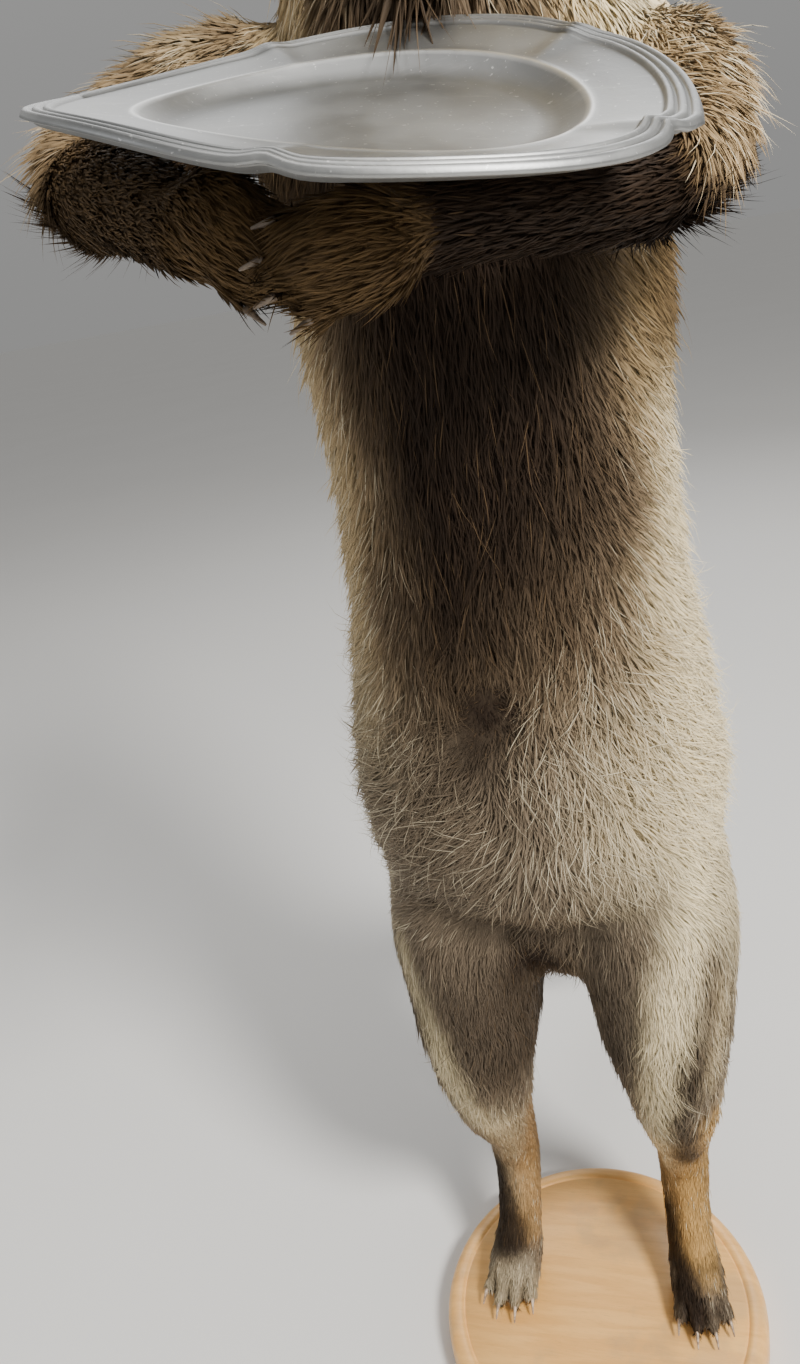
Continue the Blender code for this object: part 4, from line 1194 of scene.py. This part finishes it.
# ---------------------------------------------------------------- platter and base
def spun(profile, steps):
    """Turn a profile of (radius, height) points round Z."""
    shape = bmesh.new()
    line = [shape.verts.new((x, 0, z)) for x, z in profile]
    edges = [shape.edges.new(pair) for pair in zip(line, line[1:])]
    bmesh.ops.spin(shape, geom=line + edges, cent=(0, 0, 0), axis=(0, 0, 1), angle=2 * math.pi, steps=steps,
                   use_merge=True)
    bmesh.ops.remove_doubles(shape, verts=shape.verts, dist=1e-6)
    bmesh.ops.recalc_face_normals(shape, faces=shape.faces)
    return shape


# where the platter's rim has notches, and how deep each is as a share of the radius
NOTCHES = {math.radians(54): 0.070, math.radians(127): 0.050, math.radians(277): 0.042,
           math.radians(351): 0.032}
POINTS = {0.0: 0.030, math.pi: 0.055}                # and where it is drawn out at its ends


def between(angle, other):
    """The angle between two directions round the platter, 0 to pi."""
    return abs((angle - other + math.pi) % (2 * math.pi) - math.pi)


def bracket(angle):
    """The rim's outline as a share of the oval: lobes that meet in small notches."""
    share = 1.0
    for at, depth in POINTS.items():
        share += depth * math.exp(-between(angle, at) / 0.16)
    for at, depth in NOTCHES.items():
        share -= depth * math.exp(-between(angle, at) / (2.2 * depth))
    return share


def make_platter():
    """A shallow oval dish with three ridges along its lobed rim, a little bent, leaning on the forelegs."""
    half_length, half_width = 0.1015, 0.0800
    well = 0.66                                      # the well's share of the radius
    ridge_start, ridge_band = 0.895, 0.100
    dent = math.radians(277)                         # where the rim is bent down
    profile = [(0.0, 0.0), (0.2, 0.0), (0.4, 0.0001), (0.52, 0.0003), (0.555, 0.0007), (0.59, 0.0018),
               (0.625, 0.0038), (0.652, 0.0058), (0.664, 0.00665), (0.674, 0.0070), (0.686, 0.00695),
               (0.70, 0.0070), (0.74, 0.0076), (0.82, 0.0089), (0.885, 0.0098)]
    for k in range(19):
        t = k / 18
        ridge = 0.0012 * abs(math.sin(3 * math.pi * t)) ** 0.7
        profile.append((ridge_start + ridge_band * t, 0.0100 + 0.0006 * t + ridge))
    profile.append((1.0, 0.0098))
    shape = spun(profile, 240)
    relief = shape.verts.layers.float_vector.new("relief")
    for vert in shape.verts:
        reach = math.hypot(vert.co.x, vert.co.y)
        angle = math.atan2(vert.co.y, vert.co.x)
        across = (reach - ridge_start) / ridge_band
        groove = (1 - abs(math.sin(3 * math.pi * across))) ** 2 if 0 < across < 1 else 0.0
        groove += math.exp(-((reach - 0.575) / 0.035) ** 2) * 0.5
        # the relief: dark patina in the rim's grooves and at the well's foot, and a band along the well's
        # brink that is partly polish, partly painted highlight
        vert[relief] = (groove, math.exp(-((reach - 0.672) / 0.009) ** 2), 0)
        shaped = max(0.0, (reach - well) / (1 - well)) ** 0.8
        reach *= 1 + shaped * (bracket(angle) - 1)
        inner = min(1.0, max(0.0, (0.93 - reach) / 0.26))
        x = half_length * reach * math.cos(angle) + 0.0055 * inner
        y = half_width * reach * math.sin(angle) - 0.0055 * inner
        along = x / half_length
        z = vert.co.z + 0.007 * along * y / half_width - 0.010 * along ** 2
        z -= 0.0042 * shaped * math.exp(-(between(angle, dent) / 0.42) ** 2)
        for at in NOTCHES:
            z += 0.0013 * math.exp(-(between(angle, at) / 0.055) ** 2) * min(1.0, shaped * 1.6)
        vert.co = (x, y, z)
    bmesh.ops.recalc_face_normals(shape, faces=shape.faces)
    bmesh.ops.solidify(shape, geom=shape.faces, thickness=0.0016)
    turn = Matrix.Rotation(math.radians(-9), 4, "Z") @ Matrix.Rotation(math.radians(13), 4, "Y")
    turn = turn @ Matrix.Rotation(math.radians(15.5), 4, "X")
    bmesh.ops.transform(shape, matrix=Matrix.Translation((-0.003, -0.150, 0.7690)) @ turn, verts=shape.verts)
    return to_object(shape, "platter_dish")


def make_base():
    """A turned disc with a groove near its rounded edge."""
    radius, height = 0.113, 0.025
    top_round, foot_round = 0.0085, 0.0035
    groove = 0.885 * radius
    dip, half = 0.0012, 0.0014
    profile = [(0, height), (0.5 * groove, height), (groove - half, height),
               (groove - half / 2, height - 0.75 * dip), (groove, height - dip),
               (groove + half / 2, height - 0.75 * dip), (groove + half, height)]
    for k in range(13):
        a = math.pi / 2 * k / 12
        profile.append((radius - top_round * (1 - math.sin(a)), height - top_round * (1 - math.cos(a))))
    for k in range(7):
        a = math.pi / 2 * k / 6
        profile.append((radius - foot_round * (1 - math.cos(a)), foot_round * (1 - math.sin(a))))
    profile += [(0.5 * radius, 0), (0, 0)]
    return to_object(spun(profile, 160), "turned_base")


# ---------------------------------------------------------------- small parts
def make_claws():
    """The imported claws, smoothed into curved horns."""
    # the fore claws are darkened to about a third as painted shade, as they sit in the dark under the
    # platter; the hind claws' 1.10 is their own pale horn
    for limb, horn_tone_and_shade in (("fore", 0.34), ("hind", 1.10)):
        finish = horn_finish(f"claw_horn_{limb}", horn_tone_and_shade)
        for side in SIDES:
            nodes = [f"claw_{limb}_{side}_{k}" for k in range(1, 5)]
            thing = to_object(merged(nodes), f"claws_{limb}_{side}")
            settle(thing, "SUBSURF", levels=2, render_levels=2)
            piece(thing, finish, "claw", *nodes)


def make_eyes():
    """Glass balls with a bulging clear front, an amber iris and an upright slit."""
    for side, s in zip(SIDES, (1, -1)):
        shape = bmesh.new()
        bmesh.ops.create_uvsphere(shape, u_segments=48, v_segments=32, radius=EYE_RADIUS)
        low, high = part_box(f"eye_{side}")
        centre = (low + high) / 2
        gaze = Vector(GAZE * (s, 1, 1))
        gaze.rotate(Matrix.Rotation(HEAD_PITCH, 3, "X"))
        gaze.normalize()
        for vert in shape.verts:
            facing = vert.co.normalized().z
            vert.co *= 1 + 0.05 * max(0.0, (facing - 0.80) / 0.20)
        turn = Vector((0, 0, 1)).rotation_difference(gaze).to_matrix().to_4x4()
        bmesh.ops.transform(shape, matrix=Matrix.Translation(centre) @ turn, verts=shape.verts)
        made = Finish(f"glass_eye_{side}", Roughness=0.05, Coat_Weight=1.0, Coat_Roughness=0.02)
        where = made.place(shift=tuple(-centre))
        flat = Vector((gaze.y, -gaze.x, 0)).normalized()
        aim, across = (made.node("ShaderNodeVectorMath", {"operation": "DOT_PRODUCT"},
                                 {0: where, 1: tuple(line)}, "Value") for line in (gaze, flat))
        ring = (1 - (aim / EYE_RADIUS) ** 2).math("MAXIMUM", 0.0) ** 0.5
        slit = ((across / 0.0011) ** 2 + (ring / 0.46) ** 2)
        fibres = made.noise(1400.0, detail=4.0)
        iris = made.mix(ring.step(0.15, 0.60), (0.27, 0.105, 0.013), (0.07, 0.022, 0.004))
        iris = made.mix(fibres.step(0.4, 0.6) * 0.35, iris, (0.36, 0.16, 0.025))
        colour = made.mix(slit.step(1.1, 0.85), iris, (0.002, 0.002, 0.002))
        colour = made.mix(ring.step(0.66, 0.74), colour, (0.012, 0.008, 0.006))
        made.wear(Base_Color=colour)
        piece(to_object(shape, f"glass_eye_{side}"), made, "eye", f"eye_{side}")


def make_nose():
    """A leathery pad, flat in front, with two nostrils and a groove between them."""
    low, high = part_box("nose")
    centre = (low + high) / 2
    shape = bmesh.new()
    bmesh.ops.create_uvsphere(shape, u_segments=64, v_segments=40, radius=1.0)
    for vert in shape.verts:
        x, y, z = vert.co
        x *= 1 + 0.10 * max(0.0, z)
        for s in (1, -1):
            far = math.hypot((x - s * 0.46) / 0.30, (z + 0.10) / 0.24)
            if y < 0:
                y += 0.55 * math.exp(-far ** 2)
        if y < 0:
            y += 0.12 * math.exp(-(x / 0.06) ** 2) * (1 if z < 0.1 else 0.4)
        y = y if y > -0.62 else -0.62 + 0.35 * (y + 0.62)
        z = z if z < 0.60 else 0.60 + 0.5 * (z - 0.60)
        vert.co = (x * 0.0083, y * 0.0056, z * 0.0059)
    bmesh.ops.rotate(shape, cent=(0, 0, 0), matrix=Matrix.Rotation(HEAD_PITCH, 3, "X"), verts=shape.verts)
    bmesh.ops.translate(shape, vec=centre, verts=shape.verts)
    piece(to_object(shape, "nose_pad"), nose_finish(), "nose", "nose")


# ---------------------------------------------------------------- light, floor and camera
def make_camera():
    """A camera in front, a little above the platter, that looks down at the feet and leans to one side."""
    pitch, roll, yaw = (math.radians(a) for a in (22.5, 10.5, 17.0))
    heading = Vector((-math.sin(yaw), math.cos(yaw), 0))
    level = Vector((math.cos(yaw), math.sin(yaw), 0))
    high = Vector((0, 0, 1))
    look = heading * math.cos(pitch) - high * math.sin(pitch)
    fall = -high * math.cos(pitch) - heading * math.sin(pitch)
    across = level * math.cos(roll) + fall * math.sin(roll)
    down = -level * math.sin(roll) + fall * math.cos(roll)
    camera = bpy.data.objects.new("camera", bpy.data.cameras.new("camera"))
    bpy.context.scene.collection.objects.link(camera)
    camera.matrix_world = Matrix.Translation((0.0804, -0.4771, 0.7239)) @ Matrix(
        (across, -down, -look)).transposed().to_4x4()
    camera.data.lens = 26.0
    camera.data.sensor_width = 36.0
    bpy.context.scene.camera = camera


def lamp(name, place, target, size, power, colour=(1, 1, 1)):
    """A round soft lamp that looks from a place at a target."""
    data = bpy.data.lights.new(name, "AREA")
    data.shape = "DISK"
    data.size = size
    data.energy = power
    data.color = colour
    made = bpy.data.objects.new(name, data)
    bpy.context.scene.collection.objects.link(made)
    made.location = place
    made.rotation_euler = (Vector(target) - Vector(place)).to_track_quat("-Z", "Y").to_euler()
    return made


def make_stage():
    """A pale floor under soft lamps: the last only shows in what shines."""
    shape = bmesh.new()
    bmesh.ops.create_grid(shape, x_segments=8, y_segments=8, size=60.0)
    floor = to_object(shape, "floor")
    floor.data.materials.append(floor_finish().material)
    lamp("key", (1.40, -1.25, 2.05), (0.02, 0, 0.45), 0.6, 105, (1.0, 0.975, 0.93))
    lamp("overhead", (0.1, -0.4, 2.7), (0, 0, 0.6), 1.6, 16, (1.0, 0.98, 0.95))
    lamp("fill_left", (-1.9, -1.0, 1.3), (0, 0, 0.6), 1.6, 6, (0.95, 0.97, 1.0))
    lamp("behind", (0.5, 2.0, 2.0), (0, 0, 0.7), 1.5, 16)
    lamp("card", (-0.40, 1.9, 2.0), (0, 0, 0.8), 2.3, 26).visible_diffuse = False
    make_sky(0.38, 0.757)


def make_sky(strength, horizon):
    """An even pale sky, as much darker low down as the floor is, so that the two meet softly."""
    world = bpy.data.worlds.new("studio")
    world.use_nodes = True
    nodes = world.node_tree.nodes
    links = world.node_tree.links
    where = nodes.new("ShaderNodeTexCoord")
    split = nodes.new("ShaderNodeSeparateXYZ")
    ramp = nodes.new("ShaderNodeMapRange")
    ramp.interpolation_type = "SMOOTHSTEP"
    limits = {"From Min": 0.02, "From Max": 0.6, "To Min": strength * horizon, "To Max": strength}
    for key, value in limits.items():
        ramp.inputs[key].default_value = value
    links.new(where.outputs["Generated"], split.inputs[0])
    links.new(split.outputs["Z"], ramp.inputs["Value"])
    links.new(ramp.outputs[0], nodes["Background"].inputs["Strength"])
    nodes["Background"].inputs["Color"].default_value = (1.0, 0.995, 0.98, 1)
    bpy.context.scene.world = world


def mark_skin(skin):
    """Find the coat's markings and hollows at the skin's points, with painted shade in the toe clefts and the
    pits, and give the markings to its mesh.
    """
    names = np.array([part for part, _ in skin.parts])[skin.label]
    shares = marks(skin.points, names, skin.normals)
    # painted shade in the clefts between the hind toes
    shares[:, 0] = over(shares[:, 0], 0.85 * skin.clefts)
    hollow = np.max([lump(skin.points, spot + (0, 0, 0.008), reach) for spot, reach in HOLLOWS], axis=0)
    hollow = np.maximum(hollow, 0.6 * skin.clefts)
    skin.marks = skin.relax(np.column_stack([shares, hollow]), 8)
    # painted shade: dark spots in the hollows at the navel, the parting and the crotch
    for spot, reach, strength in PITS:
        skin.marks[:, 0] = over(skin.marks[:, 0], strength * lump(skin.points, spot, reach))
    for key, values in (("marks", skin.marks[:, :3]), ("ground", skin.marks[:, 3:6])):
        attribute = skin.mesh.attributes.new(key, "FLOAT_VECTOR", "POINT")
        attribute.data.foreach_set("vector", values.astype(np.float32).ravel())


def main():
    make_camera()
    make_stage()
    thing = make_skin()
    skin = study_skin(thing.data)
    mark_skin(skin)
    flat_uv = unwrap(thing)
    hair = fur_finish()
    make_coat(skin, flat_uv, hair)
    make_whiskers(skin, hair)
    # under its coat the skin needs fewer faces than the coat's roots did
    thing.data.uv_layers.remove(thing.data.uv_layers["OFBake"])
    thin(thing, SKIN_FACES / len(thing.data.polygons))
    unwrap(thing)
    piece(thing, skin_finish(), "fur_red", *FLESH)
    piece(make_platter(), pewter_finish(), "pewter", "platter")
    piece(make_base(), wood_finish(), "wood", "base")
    make_claws()
    make_eyes()
    make_nose()


main()
